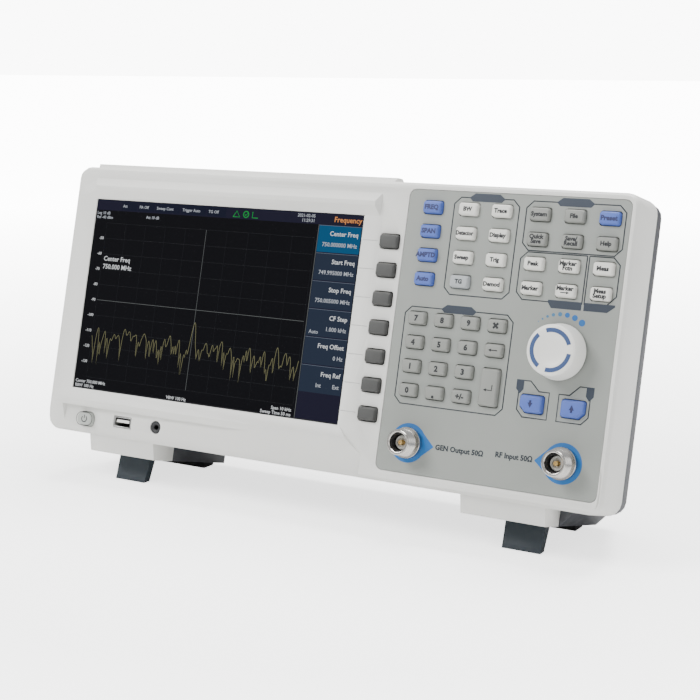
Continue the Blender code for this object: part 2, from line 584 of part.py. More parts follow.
def display_shape():
    low = (SCREEN_LEFT, SCREEN_LOW)
    high = (SCREEN_RIGHT, SCREEN_HIGH)
    glass = box("lcd_panel", (low[0] + GAP, GLASS_SUNK, low[1] + GAP), (high[0] - GAP, 0.0090, high[1] - GAP))
    panel = piece("lcd_panel", glass, GLASS_BLACK)
    back = box("lcd_module", (low[0] - LCD_MARGIN, FRONT_WALL + GAP, low[1] - LCD_MARGIN),
               (high[0] + LCD_MARGIN, LCD_DEPTH, high[1] + LCD_MARGIN))
    combine(panel, helper("lcd_module", back), "UNION")
    return panel


def keys():
    blue = ("frequency_key", "span_key", "amplitude_key", "auto_key", "preset_key")
    for name, x, z, width, height in key_places():
        colour = KEY_BLUE if name in blue else KEY_GREY
        piece(name, key_mesh(name, width, height, PANEL_BACK), colour, (x, 0, z))
    for i in range(SOFT_COUNT):
        name = f"soft_key_{i + 1}"
        key = key_mesh(name, SOFT_WIDTH, SOFT_HEIGHT, FRONT_WALL)
        piece(name, key, KEY_DARK, (SOFT_X, 0, SOFT_TOP - i * SOFT_PITCH))
    for name, x, side in zip(("down_key", "up_key"), ARROW_X, (-1, 1)):
        key = key_mesh(name, ARROW_WIDTH, ARROW_HEIGHT, PANEL_BACK, cut=(side, ARROW_CUT))
        piece(name, key, KEY_BLUE, (x, 0, ARROW_Z))
    power = key_mesh("power_key", POWER_WIDTH, POWER_HEIGHT, FRONT_WALL, radius=POWER_ROUND,
                     proud=POWER_PROUD, steps=CORNER_STEPS)
    piece("power_key", power, CASE_WHITE, (POWER_X, 0, POWER_Z))


def mat_shape():
    """The silicone sheet behind the panel with its 19 keys, notched round the separate preset key."""
    left = CONTROL_X[0] - KEY_WIDTH / 2 - KEY_FLANGE
    right = UTILITY_X[2] + KEY_WIDTH / 2 + KEY_FLANGE
    high = FUNCTION_TOP + KEY_HEIGHT / 2 + KEY_FLANGE
    low = MARKER_TOP - MARKER_PITCH - KEY_HEIGHT / 2 - KEY_FLANGE
    notch_x = UTILITY_X[2] - KEY_WIDTH / 2 - KEY_FLANGE - 0.0010
    notch_z = UTILITY_TOP - KEY_HEIGHT / 2 - KEY_FLANGE - 0.0010
    outline = [(left, low), (right, low), (right, notch_z), (notch_x, notch_z), (notch_x, high), (left, high)]
    back = PANEL_BACK + GAP
    mat = piece("key_mat", extrude_y("key_mat", outline, back, back + KEY_FLANGE_THICK), KEY_WHITE)
    for i, (x, z) in enumerate(mat_key_places()):
        name = f"mat_key_{i + 1}"
        key = key_mesh(name, KEY_WIDTH, KEY_HEIGHT, PANEL_BACK + GAP * 2, flange=False)
        combine(mat, helper(name, key, (x, 0, z)), "UNION")
    return mat


def knob_shape():
    """A hollow knob: dished top, soft edge, thin skirt and a bored boss that grips the encoder's shaft."""
    r = KNOB_RADIUS
    top, back = -KNOB_LIFT - KNOB_HEIGHT, -KNOB_LIFT
    bore, boss = SHAFT_RADIUS + 0.00005, SHAFT_RADIUS + 0.0025
    skirt = r - KNOB_SKIRT
    under = top + 0.0035
    dish = [(0, top + KNOB_DISH), (r * 0.42, top + KNOB_DISH * 0.85), (r * 0.50, top + KNOB_DISH * 0.25), (r * 0.80, top)]
    edge = [(r * 0.93, top + 0.0006), (r * 0.985, top + 0.0020), (r, top + 0.0042), (r, back)]
    inside = [(skirt, back), (skirt, under), (boss, under), (boss, back), (bore, back), (bore, under + 0.0005),
              (0, under + 0.0005)]
    knob = turned("tuning_knob", dish + edge + inside, 40)
    return piece("tuning_knob", knob, CASE_WHITE, (KNOB_X, 0, KNOB_Z), smooth=True)


def encoder_shape():
    top = -KNOB_LIFT - KNOB_HEIGHT + 0.0045
    body_radius = SHAFT_RADIUS * 2
    body_front, body_back = PANEL_BACK + 0.0012, KEY_BOARD_FRONT - GAP
    profile = [(0, top), (SHAFT_RADIUS - 0.00025, top), (SHAFT_RADIUS, top + 0.0004),
               (SHAFT_RADIUS, body_front), (body_radius, body_front), (body_radius, body_back), (0, body_back)]
    piece("rotary_encoder", turned("rotary_encoder", profile, 24), NICKEL, (KNOB_X, 0, KNOB_Z), smooth=True)


def connector_shape(name, x, z):
    """A type N socket: collar on the panel, threaded barrel, insulator floor and hollow centre contact."""
    r, tip, flange = CONNECTOR_RADIUS, -CONNECTOR_LENGTH, CONNECTOR_FLANGE
    floor, edge = -0.0040, 0.0006
    contact_radius, contact_length = 0.0016, 0.0055
    bore = r - CONNECTOR_WALL
    body_back, pin_back = 0.0150, 0.0195
    profile = [(0, floor - contact_length + edge), (contact_radius / 2, floor - contact_length),
               (contact_radius, floor - contact_length), (contact_radius, floor), (bore, floor),
               (bore, tip + edge), (bore + edge, tip), (r - edge, tip), (r, tip + edge), (r, -0.0034),
               (flange - edge / 3, -0.0032), (flange, -0.0026), (flange, PANEL_SUNK - GAP),
               (r, PANEL_SUNK - GAP), (r, body_back), (r / 2, body_back), (r / 2, pin_back), (0, pin_back)]
    piece(name, turned(name, profile, 24), NICKEL, (x, 0, z), smooth=True)


def floor_cutter():
    """A block under the plane that the legs and rear feet stand on."""
    half = Vector((0.3, 0.3, 0.06))
    block = box("below_floor", -half, half)
    block.transform(Matrix.Translation((0, 0, -half.z)))
    block.transform(Matrix.Rotation(TILT, 4, "X"))
    return helper("below_floor", block, (0, LEG_TIP_Y, LEG_TIP_Z))


def leg_shape(side, below):
    """A moulded flip-out leg: barrel with pins at the hinge, a flat blade with rounded lower corners."""
    name = ("left" if side < 0 else "right") + "_leg"
    half, length, thick = LEG_WIDTH / 2, LEG_LENGTH + LEG_SPARE, LEG_THICK / 2
    foot_half = half - LEG_TAPER
    bend = LEG_CORNER * 2 - length
    outline = [(-half, 0.0), (-foot_half, bend)]
    for start, centre_x in ((180, LEG_CORNER - foot_half), (270, foot_half - LEG_CORNER)):
        for i in range(CORNER_STEPS + 1):
            angle = math.radians(start + 90 * i / CORNER_STEPS)
            outline.append((centre_x + LEG_CORNER * math.cos(angle),
                            LEG_CORNER - length + LEG_CORNER * math.sin(angle)))
    outline += [(foot_half, bend), (half, 0.0)]
    blade = extrude_y(name, outline, -thick, thick)
    blade.transform(Matrix.Rotation(-LEG_LEAN, 4, "X"))
    leg = piece(name, blade, SLATE, (side * LEG_CENTRE, LEG_AXIS_Y, LEG_AXIS_Z))
    barrel = rod("barrel", thick, (-half, half), 20, axis="X")
    combine(leg, helper(f"{name}_barrel", barrel, leg.location), "UNION")
    reach = half + LEG_PIN_LENGTH
    pins = rod("pins", LEG_PIN_RADIUS, (-reach, reach), axis="X")
    combine(leg, helper(f"{name}_pins", pins, leg.location), "UNION")
    combine(leg, below)
    return leg


def rear_foot_shape(side, below):
    name = ("left" if side < 0 else "right") + "_rear_foot"
    middle = (FOOT_INNER + FOOT_OUTER) / 2
    half = REAR_FOOT_WIDTH / 2
    low, high = -FOOT_DROP - REAR_FOOT_DROP - 0.004, -FOOT_DROP - GAP
    outline = [(REAR_FOOT_Y, high), (FOOT_TIP_Y, high), (FOOT_TIP_Y, low), (REAR_FOOT_Y + 0.001, low)]
    foot = extrude_x(name, outline, side * middle - half, side * middle + half)
    combine(piece(name, foot, RUBBER), below)


def handle_shape():
    """A fold-flat carrying handle. Its origin is the pivot; folded, it lies down the cover's sloped top."""
    half, arm, thick = HANDLE_HALF_WIDTH - GAP, HANDLE_ARM, 0.0045
    reach = HANDLE_REACH
    bm = bmesh.new()
    grip = 0.0110
    near, far, cut = reach - grip / 2, reach + grip / 2, 0.006
    right = [(half - arm, near), (half - arm, -thick), (half, -thick), (half, far - cut), (half - cut, far)]
    side = [(-x, y) for x, y in reversed(right)] + right
    rows = [[bm.verts.new((x, y, z)) for x, y in side] for z in (-thick, thick)]
    for i in range(len(side)):
        j = (i + 1) % len(side)
        bm.faces.new((rows[0][i], rows[0][j], rows[1][j], rows[1][i]))
    bm.faces.new(rows[0])
    bm.faces.new(rows[1])
    bmesh.ops.recalc_face_normals(bm, faces=bm.faces)
    edges = [edge for edge in bm.edges if edge.verts[0].co.z * edge.verts[1].co.z > 0]
    bmesh.ops.bevel(bm, geom=edges, offset=0.0022, segments=2, affect="EDGES", profile=0.5)
    mesh = mesh_from(bm, "carry_handle")
    mesh.transform(Matrix.Rotation(-TOP_SLOPE, 4, "X"))
    handle = piece("carry_handle", mesh, SLATE, handle_axis())
    tip = HANDLE_HALF_WIDTH + HANDLE_PIN_LENGTH
    for sign, label in ((-1, "left"), (1, "right")):
        ends = sorted((sign * (half - HANDLE_ARM / 2), sign * tip))
        pin = rod(f"handle_pin_{label}", HANDLE_PIN_RADIUS, ends, axis="X")
        combine(handle, helper(f"handle_pin_{label}", pin, handle.location), "UNION")
    return handle


def populated_board(name, low, high, front, parts):
    """A circuit board with its tall parts on the rear side, each given as name, x, z, width, height, thickness."""
    back = front + BOARD_THICK
    board = piece(name, box(name, (low[0], front, low[1]), (high[0], back, high[1])), BOARD_GREEN)
    for label, x, z, width, height, thick in parts:
        block = box(label, (x - width / 2, back - BOARD_THICK / 2, z - height / 2),
                    (x + width / 2, back + thick, z + height / 2))
        combine(board, helper(label, block), "UNION")


def boards():
    board = box("key_board", (PANEL_LEFT + 0.005, KEY_BOARD_FRONT, PANEL_LOW + 0.005),
                (PANEL_RIGHT - 0.005, KEY_BOARD_FRONT + BOARD_THICK, PANEL_HIGH - 0.005))
    keyboard = piece("key_board", board, BOARD_GREEN)
    for i, (x, z) in enumerate(zip(CONNECTOR_X, CONNECTOR_Z)):
        name = f"board_hole_{i}"
        hole = rod(name, CONNECTOR_FLANGE + GAP, (0, 0.020), 20)
        combine(keyboard, helper(name, hole, (x, 0, z)))

    populated_board("main_board", (-0.180, 0.015), (0.045, 0.165), MAIN_BOARD_FRONT, (
        ("processor", -0.10, 0.10, 0.030, 0.030, 0.004), ("logic", -0.03, 0.10, 0.024, 0.024, 0.003),
        ("memory", -0.10, 0.06, 0.014, 0.020, 0.002), ("header", 0.02, 0.04, 0.030, 0.008, 0.009)))
    populated_board("power_supply", (-0.185, 0.068), (-0.085, 0.142), SUPPLY_FRONT, (
        ("transformer", -0.135, 0.105, 0.034, 0.030, 0.026), ("capacitor", -0.168, 0.085, 0.020, 0.020, 0.030),
        ("heat_sink", -0.098, 0.105, 0.008, 0.060, 0.028)))

    module = piece("rf_module", box("rf_module", (0.062, 0.0240, 0.015), (0.195, 0.0460, 0.060)), TIN)
    for i in range(3):
        rib = box(f"shield_rib_{i}", (0.070 + i * 0.042, 0.0455, 0.020), (0.103 + i * 0.042, 0.0475, 0.055))
        combine(module, helper(f"shield_rib_{i}", rib), "UNION")


def fan():
    back = COVER_BACK - WALL - GAP
    half = FAN_SIZE / 2
    block = box("fan_frame", (-half, back - FAN_DEPTH, -half), (half, back, half))
    frame = piece("fan_frame", block, SOCKET_BLACK, (FAN_X, 0, FAN_Z))
    motor_plate = 0.0025
    bore = rod("fan_bore", FAN_BORE, (back - FAN_DEPTH + motor_plate, back + 0.010), 32)
    combine(frame, helper("fan_bore", bore, frame.location))
    for i in range(4):
        name = f"fan_air_gap_{i}"
        start, end = math.radians(90 * i + 8), math.radians(90 * i + 82)
        around = [start + (end - start) * k / 5 for k in range(6)]
        points = [(FAN_BORE * math.cos(a), FAN_BORE * math.sin(a)) for a in around]
        points += [((FAN_HUB + 0.001) * math.cos(a), (FAN_HUB + 0.001) * math.sin(a)) for a in (end, start)]
        gap = extrude_y(name, points, back - FAN_DEPTH - 0.01, back - FAN_DEPTH + 0.01)
        combine(frame, helper(name, gap, frame.location))
    front = back - FAN_DEPTH + motor_plate + 0.0010
    hub = rod("fan_rotor", FAN_HUB, (front, back - 0.0010), 24)
    rotor = piece("fan_rotor", hub, SOCKET_BLACK, (FAN_X, 0, FAN_Z), smooth=True)
    tip = FAN_BORE - 0.0010
    depth = (front + 0.0005, back - 0.0020)
    for i in range(FAN_BLADES):
        name = f"fan_blade_{i}"
        rings = []
        for r, twist in ((FAN_HUB - 0.001, 22), ((FAN_HUB + tip) / 2, 17), (tip, 12)):
            turn = 2 * math.pi * i / FAN_BLADES
            lead, trail = turn - math.radians(twist), turn + math.radians(twist)
            thick = 0.0012 / r
            section = ((lead, depth[0]), (lead + thick, depth[0]), (trail + thick, depth[1]), (trail, depth[1]))
            rings.append([(r * math.cos(a), y, r * math.sin(a)) for a, y in section])
        combine(rotor, helper(name, loft(name, rings), rotor.location), "UNION")


def finger_guard():
    """A punched ring-and-spoke guard over the fan opening, outside the rear wall."""
    front, back = COVER_BACK + GAP, COVER_BACK + GAP + 0.0016
    half = FAN_SIZE / 2 + 0.002
    plate = loft("fan_guard", [rounded(half, -half, half, 0.005, y) for y in (front, back)])
    guard = piece("fan_guard", plate, TIN, (FAN_X, 0, FAN_Z))
    spoke = math.radians(5)
    for ring in range(GUARD_RINGS):
        low = GUARD_CENTRE + ring * GUARD_PITCH
        high = low + GUARD_SLOT
        for i in range(4):
            name = f"guard_slot_{ring}_{i}"
            margin = spoke * 0.012 / low
            start, end = math.pi / 2 * i + margin, math.pi / 2 * (i + 1) - margin
            steps = [start + (end - start) * k / 5 for k in range(6)]
            points = [(high * math.cos(a), high * math.sin(a)) for a in steps]
            points += [(low * math.cos(a), low * math.sin(a)) for a in reversed(steps)]
            combine(guard, helper(name, extrude_y(name, points, front - 0.002, back + 0.002), guard.location))


def socket(name, x, z, width, height, depth, face, wall, colour, out=1, tongue=None):
    """A rectangular socket shell with a blind mouth. out is +1 for a rear socket and -1 for a front one."""
    ends = sorted((face, face - out * depth))
    block = box(name, (-width / 2, ends[0], -height / 2), (width / 2, ends[1], height / 2))
    shell = piece(name, block, colour, (x, 0, z))
    mouth = sorted((face + out * 0.005, face - out * (depth - wall)))
    cut = helper(f"{name}_mouth", box(f"{name}_mouth", (-width / 2 + wall, mouth[0], -height / 2 + wall),
                                      (width / 2 - wall, mouth[1], height / 2 - wall)), (x, 0, z))
    combine(shell, cut)
    if tongue:
        tongue_width, tongue_height, offset = tongue
        span = sorted((face - out * 0.001, face - out * (depth - wall / 2)))
        bar = box(f"{name}_tongue", (-tongue_width / 2, span[0], offset - tongue_height / 2),
                  (tongue_width / 2, span[1], offset + tongue_height / 2))
        combine(shell, helper(f"{name}_tongue", bar, (x, 0, z)), "UNION")
    return shell


def sockets():
    chin_face = 0.0020
    socket("usb_a_socket", USB_X, USB_Z, USB_WIDTH, USB_HEIGHT, 0.0160, chin_face, 0.0009, NICKEL, out=-1,
           tongue=(0.0112, 0.0019, 0.0009))
    r = JACK_RADIUS
    bore, face, blind, back = 0.00178, 0.0018, 0.0145, 0.0160
    jack = [(0, blind), (bore, blind), (bore, face + 0.0008), (bore + 0.0008, face), (r, face), (r, back),
            (0, back)]
    body = turned("headphone_jack", jack, 24)
    piece("headphone_jack", body, SOCKET_BLACK, (JACK_X, 0, JACK_Z), smooth=True)
    back = COVER_BACK + 0.0010
    socket("lan_socket", LAN_X, PORT_Z, LAN_WIDTH, LAN_HEIGHT, PORT_DEPTH, back, 0.0011, NICKEL)
    socket("usb_b_socket", USB_B_X, PORT_Z, USB_B_WIDTH, USB_B_HEIGHT, PORT_DEPTH, back, 0.0011, NICKEL,
           tongue=(0.0055, 0.0032, 0.0))
    r, bore = BNC_RADIUS, BNC_RADIUS - 0.0010
    nut, nut_low, nut_high = r + 0.0022, COVER_BACK + GAP, COVER_BACK + GAP + 0.0020
    tip = COVER_BACK + BNC_LENGTH
    contact, contact_tip, floor = 0.0007, tip - 0.0045, tip - 0.0085
    inner = COVER_BACK - WALL - 0.0080
    profile = [(0, contact_tip), (contact, contact_tip), (contact, floor), (bore, floor), (bore, tip),
               (r - 0.0003, tip), (r, tip - 0.0004), (r, nut_high), (nut, nut_high), (nut, nut_low), (r, nut_low),
               (r, inner), (0, inner)]
    for i, name in enumerate(("reference_in_socket", "reference_out_socket", "trigger_in_socket")):
        body = turned(name, profile, 16)
        piece(name, body, NICKEL, (BNC_X + i * BNC_PITCH, 0, BNC_Z), smooth=True)


def inlet():
    """Mains inlet with three blades and, beside it in the same frame, the rocker switch."""
    face = COVER_BACK + 0.0015
    half_w, half_h = INLET_WIDTH / 2, INLET_HEIGHT / 2
    block = box("ac_inlet", (-half_w, face - INLET_DEPTH, -half_h), (half_w, face, half_h))
    frame = piece("ac_inlet", block, SOCKET_BLACK, (INLET_X, 0, INLET_Z))
    mouth_x = -0.0125
    wide, narrow, high, shoulder = 0.0122, 0.0078, 0.0082, 0.0042
    mouth = [(-wide, -high), (wide, -high), (wide, shoulder), (narrow, high), (-narrow, high),
             (-wide, shoulder)]
    cut = extrude_y("inlet_mouth", [(x + mouth_x, z) for x, z in mouth], face - 0.0190, face + 0.005)
    combine(frame, helper("inlet_mouth", cut, frame.location))
    for name, x, z in (("earth", 0.0, 0.0030), ("line", -0.0070, -0.0010), ("neutral", 0.0070, -0.0010)):
        blade = box(f"{name}_blade", (mouth_x + x - 0.0010, face - 0.0210, z - 0.0022),
                    (mouth_x + x + 0.0010, face - 0.0030, z + 0.0022))
        combine(frame, helper(f"{name}_blade", blade, frame.location), "UNION")
    width, height, depth = 0.0130, 0.0210, 0.0100
    x = 0.0165
    pin_radius, pin_reach = 0.0010, width / 2 + 0.0012
    well = box("rocker_well", (x - width / 2, face - depth, -height / 2),
               (x + width / 2, face + 0.005, height / 2))
    combine(frame, helper("rocker_well", well, frame.location))
    axis = Vector((INLET_X + x, face - 0.0030, INLET_Z))
    bearing = rod("rocker_bearing", pin_radius + GAP, (-pin_reach - GAP, pin_reach + GAP), 12, "X")
    combine(frame, helper("rocker_bearing", bearing, axis))
    half = height / 2 - 0.0012
    profile = [(0.0030, 0.0), (0.0018, half), (-0.0016, half - 0.0004), (-0.0050, 0.0035), (-0.0050, -0.0035),
               (-0.0016, -half + 0.0004), (0.0018, -half)]
    rocker = extrude_x("mains_rocker", profile, -width / 2 + GAP, width / 2 - GAP)
    switch = piece("mains_rocker", rocker, SOCKET_BLACK, axis)
    pin = rod("rocker_pin", pin_radius, (-pin_reach, pin_reach), 12, "X")
    combine(switch, helper("rocker_pin", pin, axis), "UNION")


bezel_shape()
cover_shape()
panel_shape()
display_shape()
keys()
mat_shape()
knob_shape()
encoder_shape()
for connector, x, z in zip(("gen_connector", "rf_connector"), CONNECTOR_X, CONNECTOR_Z):
    connector_shape(connector, x, z)
floor_block = floor_cutter()
for side in (-1, 1):
    leg_shape(side, floor_block)
    rear_foot_shape(side, floor_block)
handle_shape()
boards()
fan()
finger_guard()
sockets()
inlet()


def depth_range():
    """The lowest and highest y of every visible piece, as it stands."""
    bpy.context.view_layer.update()
    graph = bpy.context.evaluated_depsgraph_get()
    depths = []
    for item in instrument.children:
        if not item.hide_render:
            solid = item.evaluated_get(graph)
            depths += [(item.matrix_world @ vertex.co).y for vertex in solid.to_mesh().vertices]
            solid.to_mesh_clear()
    return min(depths), max(depths)


# Tilt the instrument back onto its feet and bring the middle of its depth over the origin.
contact = Matrix.Rotation(-TILT, 4, "X") @ Vector((0, LEG_TIP_Y, LEG_TIP_Z))
instrument.rotation_euler = (-TILT, 0, 0)
instrument.location = (0, 0, -contact.z)
nearest, farthest = depth_range()
instrument.location.y = -(nearest + farthest) / 2
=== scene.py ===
"""Bench spectrum analyzer with a lit 10 inch display, standing on its flip-out legs on a pale floor."""

import json
import math
import random

import bpy
from mathutils import Matrix, Vector

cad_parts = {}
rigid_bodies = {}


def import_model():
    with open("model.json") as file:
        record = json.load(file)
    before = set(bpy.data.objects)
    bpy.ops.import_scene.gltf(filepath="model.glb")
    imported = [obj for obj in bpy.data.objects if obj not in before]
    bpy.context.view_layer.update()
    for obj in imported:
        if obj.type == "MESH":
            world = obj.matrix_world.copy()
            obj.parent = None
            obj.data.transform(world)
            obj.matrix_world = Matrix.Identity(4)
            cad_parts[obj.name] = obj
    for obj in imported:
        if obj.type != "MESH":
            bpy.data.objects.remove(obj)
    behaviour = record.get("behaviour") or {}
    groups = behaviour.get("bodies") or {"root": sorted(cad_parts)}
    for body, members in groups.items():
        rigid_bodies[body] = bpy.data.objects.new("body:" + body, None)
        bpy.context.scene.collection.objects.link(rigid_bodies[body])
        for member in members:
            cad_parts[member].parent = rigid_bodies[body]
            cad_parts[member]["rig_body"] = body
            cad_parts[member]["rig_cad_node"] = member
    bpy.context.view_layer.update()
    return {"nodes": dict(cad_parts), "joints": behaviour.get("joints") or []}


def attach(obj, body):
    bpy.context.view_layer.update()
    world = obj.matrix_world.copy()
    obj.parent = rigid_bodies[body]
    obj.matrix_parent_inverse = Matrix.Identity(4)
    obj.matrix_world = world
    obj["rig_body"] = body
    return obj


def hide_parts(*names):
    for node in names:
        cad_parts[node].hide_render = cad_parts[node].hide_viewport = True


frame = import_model()

# ---------------------------------------------------------------- the instrument's own frame
# The housing leans back on its legs. Its pieces are laid out upright, with x to the right, y to the back
# and z up from the housing's lower front edge, and `home` leans them back to where they stand.
knob_turn = next(joint for joint in frame["joints"] if joint["name"] == "tuning_knob_turn")
shaft_foot = Vector((0.1716, 0.0, 0.0923))
lean = Matrix.Rotation(-math.atan2(knob_turn["axis"][2], -knob_turn["axis"][1]), 4, "X")
home = Matrix.Translation(Vector(knob_turn["pos_m"]) - lean @ shaft_foot) @ lean
upright = home.inverted()


def seat(node):
    """Lowest and highest corner of a CAD node in the upright layout."""
    points = [upright @ vertex.co for vertex in frame["nodes"][node].data.vertices]
    low = Vector(min(point[axis] for point in points) for axis in range(3))
    high = Vector(max(point[axis] for point in points) for axis in range(3))
    return low, high


# ---------------------------------------------------------------- camera and studio
# A long lens stands to the right of the instrument and a little above it. The floor is a plain pale sheet,
# lit by a large soft light over the left shoulder, a weaker one from the right and a pale room.
camera_data = bpy.data.cameras.new("front_right_camera")
camera = bpy.data.objects.new("front_right_camera", camera_data)
bpy.context.scene.collection.objects.link(camera)
camera_data.lens = 77.14
camera_data.sensor_width = 36.0
camera_data.clip_end = 200.0
toward = Vector((-0.5004, 0.8654, 0.0255))
rightward = Vector((0.8602, 0.4936, 0.1283))
back = -toward.normalized()
right = (rightward - back * rightward.dot(back)).normalized()
turn = Matrix((right, back.cross(right), back)).transposed().to_4x4()
camera.matrix_world = home @ Matrix.Translation((0.5052, -0.8204, 0.0554)) @ turn
bpy.context.scene.camera = camera


def soft_light(name, place, size, power, aim=(0.0, 0.0, 0.1)):
    """A large round lamp that points at the instrument."""
    data = bpy.data.lights.new(name, "AREA")
    data.shape = "DISK"
    data.size = size
    data.energy = power
    lamp = bpy.data.objects.new(name, data)
    bpy.context.scene.collection.objects.link(lamp)
    lamp.location = place
    lamp.rotation_euler = (Vector(aim) - Vector(place)).to_track_quat("-Z", "Y").to_euler()


soft_light("left_shoulder_light", (-1.3, -1.5, 1.9), 1.2, 70)
soft_light("right_fill_light", (2.0, -0.9, 1.1), 1.6, 9)
soft_light("overhead_light", (0.2, 0.7, 2.2), 1.6, 92)
world = bpy.data.worlds.new("pale_room")
world.use_nodes = True
room = world.node_tree
room.nodes["Background"].inputs["Color"].default_value = (0.96, 0.98, 1.0, 1.0)
room.nodes["Background"].inputs["Strength"].default_value = 0.72
backdrop = room.nodes.new("ShaderNodeBackground")
backdrop.inputs["Strength"].default_value = 12.0
seen = room.nodes.new("ShaderNodeLightPath")
choice = room.nodes.new("ShaderNodeMixShader")
room.links.new(seen.outputs["Is Camera Ray"], choice.inputs["Fac"])
room.links.new(room.nodes["Background"].outputs[0], choice.inputs[1])
room.links.new(backdrop.outputs[0], choice.inputs[2])
room.links.new(choice.outputs[0], room.nodes["World Output"].inputs["Surface"])
bpy.context.scene.world = world


def choose(*objects):
    """Selects only these objects, the first of them active."""
    if bpy.context.mode != "OBJECT":
        bpy.ops.object.mode_set(mode="OBJECT")
    bpy.ops.object.select_all(action="DESELECT")
    for item in objects:
        item.select_set(True)
    bpy.context.view_layer.objects.active = objects[0]


def effect_group(name, inputs, outputs):
    """An empty shader node group, with its input and output nodes."""
    group = bpy.data.node_groups.new(name, "ShaderNodeTree")
    for label, value in inputs:
        socket = group.interface.new_socket(label, in_out="INPUT", socket_type="NodeSocketFloat")
        socket.default_value = value
    for label in outputs:
        group.interface.new_socket(label, in_out="OUTPUT", socket_type="NodeSocketFloat")
    return group, group.nodes.new("NodeGroupInput"), group.nodes.new("NodeGroupOutput")


def noise(tree, scale, detail=3.0, roughness=0.55):
    """A noise texture on the object's own coordinates."""
    place = tree.nodes.new("ShaderNodeTexCoord")
    made = tree.nodes.new("ShaderNodeTexNoise")
    tree.links.new(place.outputs["Object"], made.inputs["Vector"])
    if hasattr(scale, "is_linked"):
        tree.links.new(scale, made.inputs["Scale"])
    else:
        made.inputs["Scale"].default_value = scale
    made.inputs["Detail"].default_value = detail
    made.inputs["Roughness"].default_value = roughness
    return made


def sum_up(tree, operation, first, second, clamp=False):
    """A math node; each term is a socket or a number."""
    made = tree.nodes.new("ShaderNodeMath")
    made.operation = operation
    made.use_clamp = clamp
    for socket, term in zip(made.inputs, (first, second)):
        if hasattr(term, "is_linked"):
            tree.links.new(term, socket)
        else:
            socket.default_value = term
    return made.outputs[0]


def between(tree, socket, low, high, new_low=0.0, new_high=1.0):
    """A clamped map range node from low..high to new_low..new_high."""
    made = tree.nodes.new("ShaderNodeMapRange")
    tree.links.new(socket, made.inputs["Value"])
    for label, value in (("From Min", low), ("From Max", high), ("To Min", new_low), ("To Max", new_high)):
        made.inputs[label].default_value = value
    return made.outputs["Result"]


# The spark-eroded texture of a mould, and the cloudy tone of pigmented plastic.
grain_group, grain_in, grain_out = effect_group("moulded_grain", [("Scale", 2600.0)],
                                                ["Height", "Tone", "Speck"])
fine = noise(grain_group, grain_in.outputs["Scale"], 2.0, 0.6)
broad = noise(grain_group, 14.0, 4.0, 0.5)
speck = noise(grain_group, 900.0, 1.0, 0.5)
links = grain_group.links
links.new(fine.outputs["Fac"], grain_out.inputs["Height"])
links.new(between(grain_group, broad.outputs["Fac"], 0.3, 0.7), grain_out.inputs["Tone"])
links.new(between(grain_group, speck.outputs["Fac"], 0.62, 0.75), grain_out.inputs["Speck"])

# Dust settles on what faces up, thinner where hands have wiped it.
dust_group, dust_in, dust_out = effect_group("settled_dust", [("Amount", 0.2)], ["Mask"])
facing = dust_group.nodes.new("ShaderNodeTexCoord")
parts = dust_group.nodes.new("ShaderNodeSeparateXYZ")
dust_group.links.new(facing.outputs["Normal"], parts.inputs[0])
upward = between(dust_group, parts.outputs["Z"], 0.35, 1.0)
wiped = between(dust_group, noise(dust_group, 160.0, 5.0, 0.7).outputs["Fac"], 0.35, 0.65)
settled = sum_up(dust_group, "MULTIPLY", upward, wiped)
dusted = sum_up(dust_group, "MULTIPLY", settled, dust_in.outputs["Amount"])
dust_group.links.new(dusted, dust_out.inputs["Mask"])

# Edges that are handled lose their texture and turn a little lighter and smoother.
wear_group, wear_in, wear_out = effect_group("handled_edge", [("Reach", 0.0006), ("Amount", 0.5)], ["Mask"])
rounded_normal = wear_group.nodes.new("ShaderNodeBevel")
rounded_normal.samples = 4
wear_group.links.new(wear_in.outputs["Reach"], rounded_normal.inputs["Radius"])
own_normal = wear_group.nodes.new("ShaderNodeNewGeometry")
compare = wear_group.nodes.new("ShaderNodeVectorMath")
compare.operation = "DOT_PRODUCT"
wear_group.links.new(rounded_normal.outputs["Normal"], compare.inputs[0])
wear_group.links.new(own_normal.outputs["Normal"], compare.inputs[1])
sharpness = between(wear_group, compare.outputs["Value"], 0.995, 0.90)
patchy = between(wear_group, noise(wear_group, 160.0, 4.0, 0.6).outputs["Fac"], 0.35, 0.6)
rubbed = sum_up(wear_group, "MULTIPLY", sharpness, patchy)
rubbed = sum_up(wear_group, "MULTIPLY", rubbed, wear_in.outputs["Amount"])
wear_group.links.new(rubbed, wear_out.inputs["Mask"])


def mixed(tree, mask, first, second):
    """A colour mix; each colour is a socket or red, green and blue."""
    made = tree.nodes.new("ShaderNodeMix")
    made.data_type = "RGBA"
    tree.links.new(mask, made.inputs["Factor"])
    for socket, term in ((made.inputs[6], first), (made.inputs[7], second)):
        if hasattr(term, "is_linked"):
            tree.links.new(term, socket)
        else:
            socket.default_value = (*term, 1.0)
    return made.outputs[2]


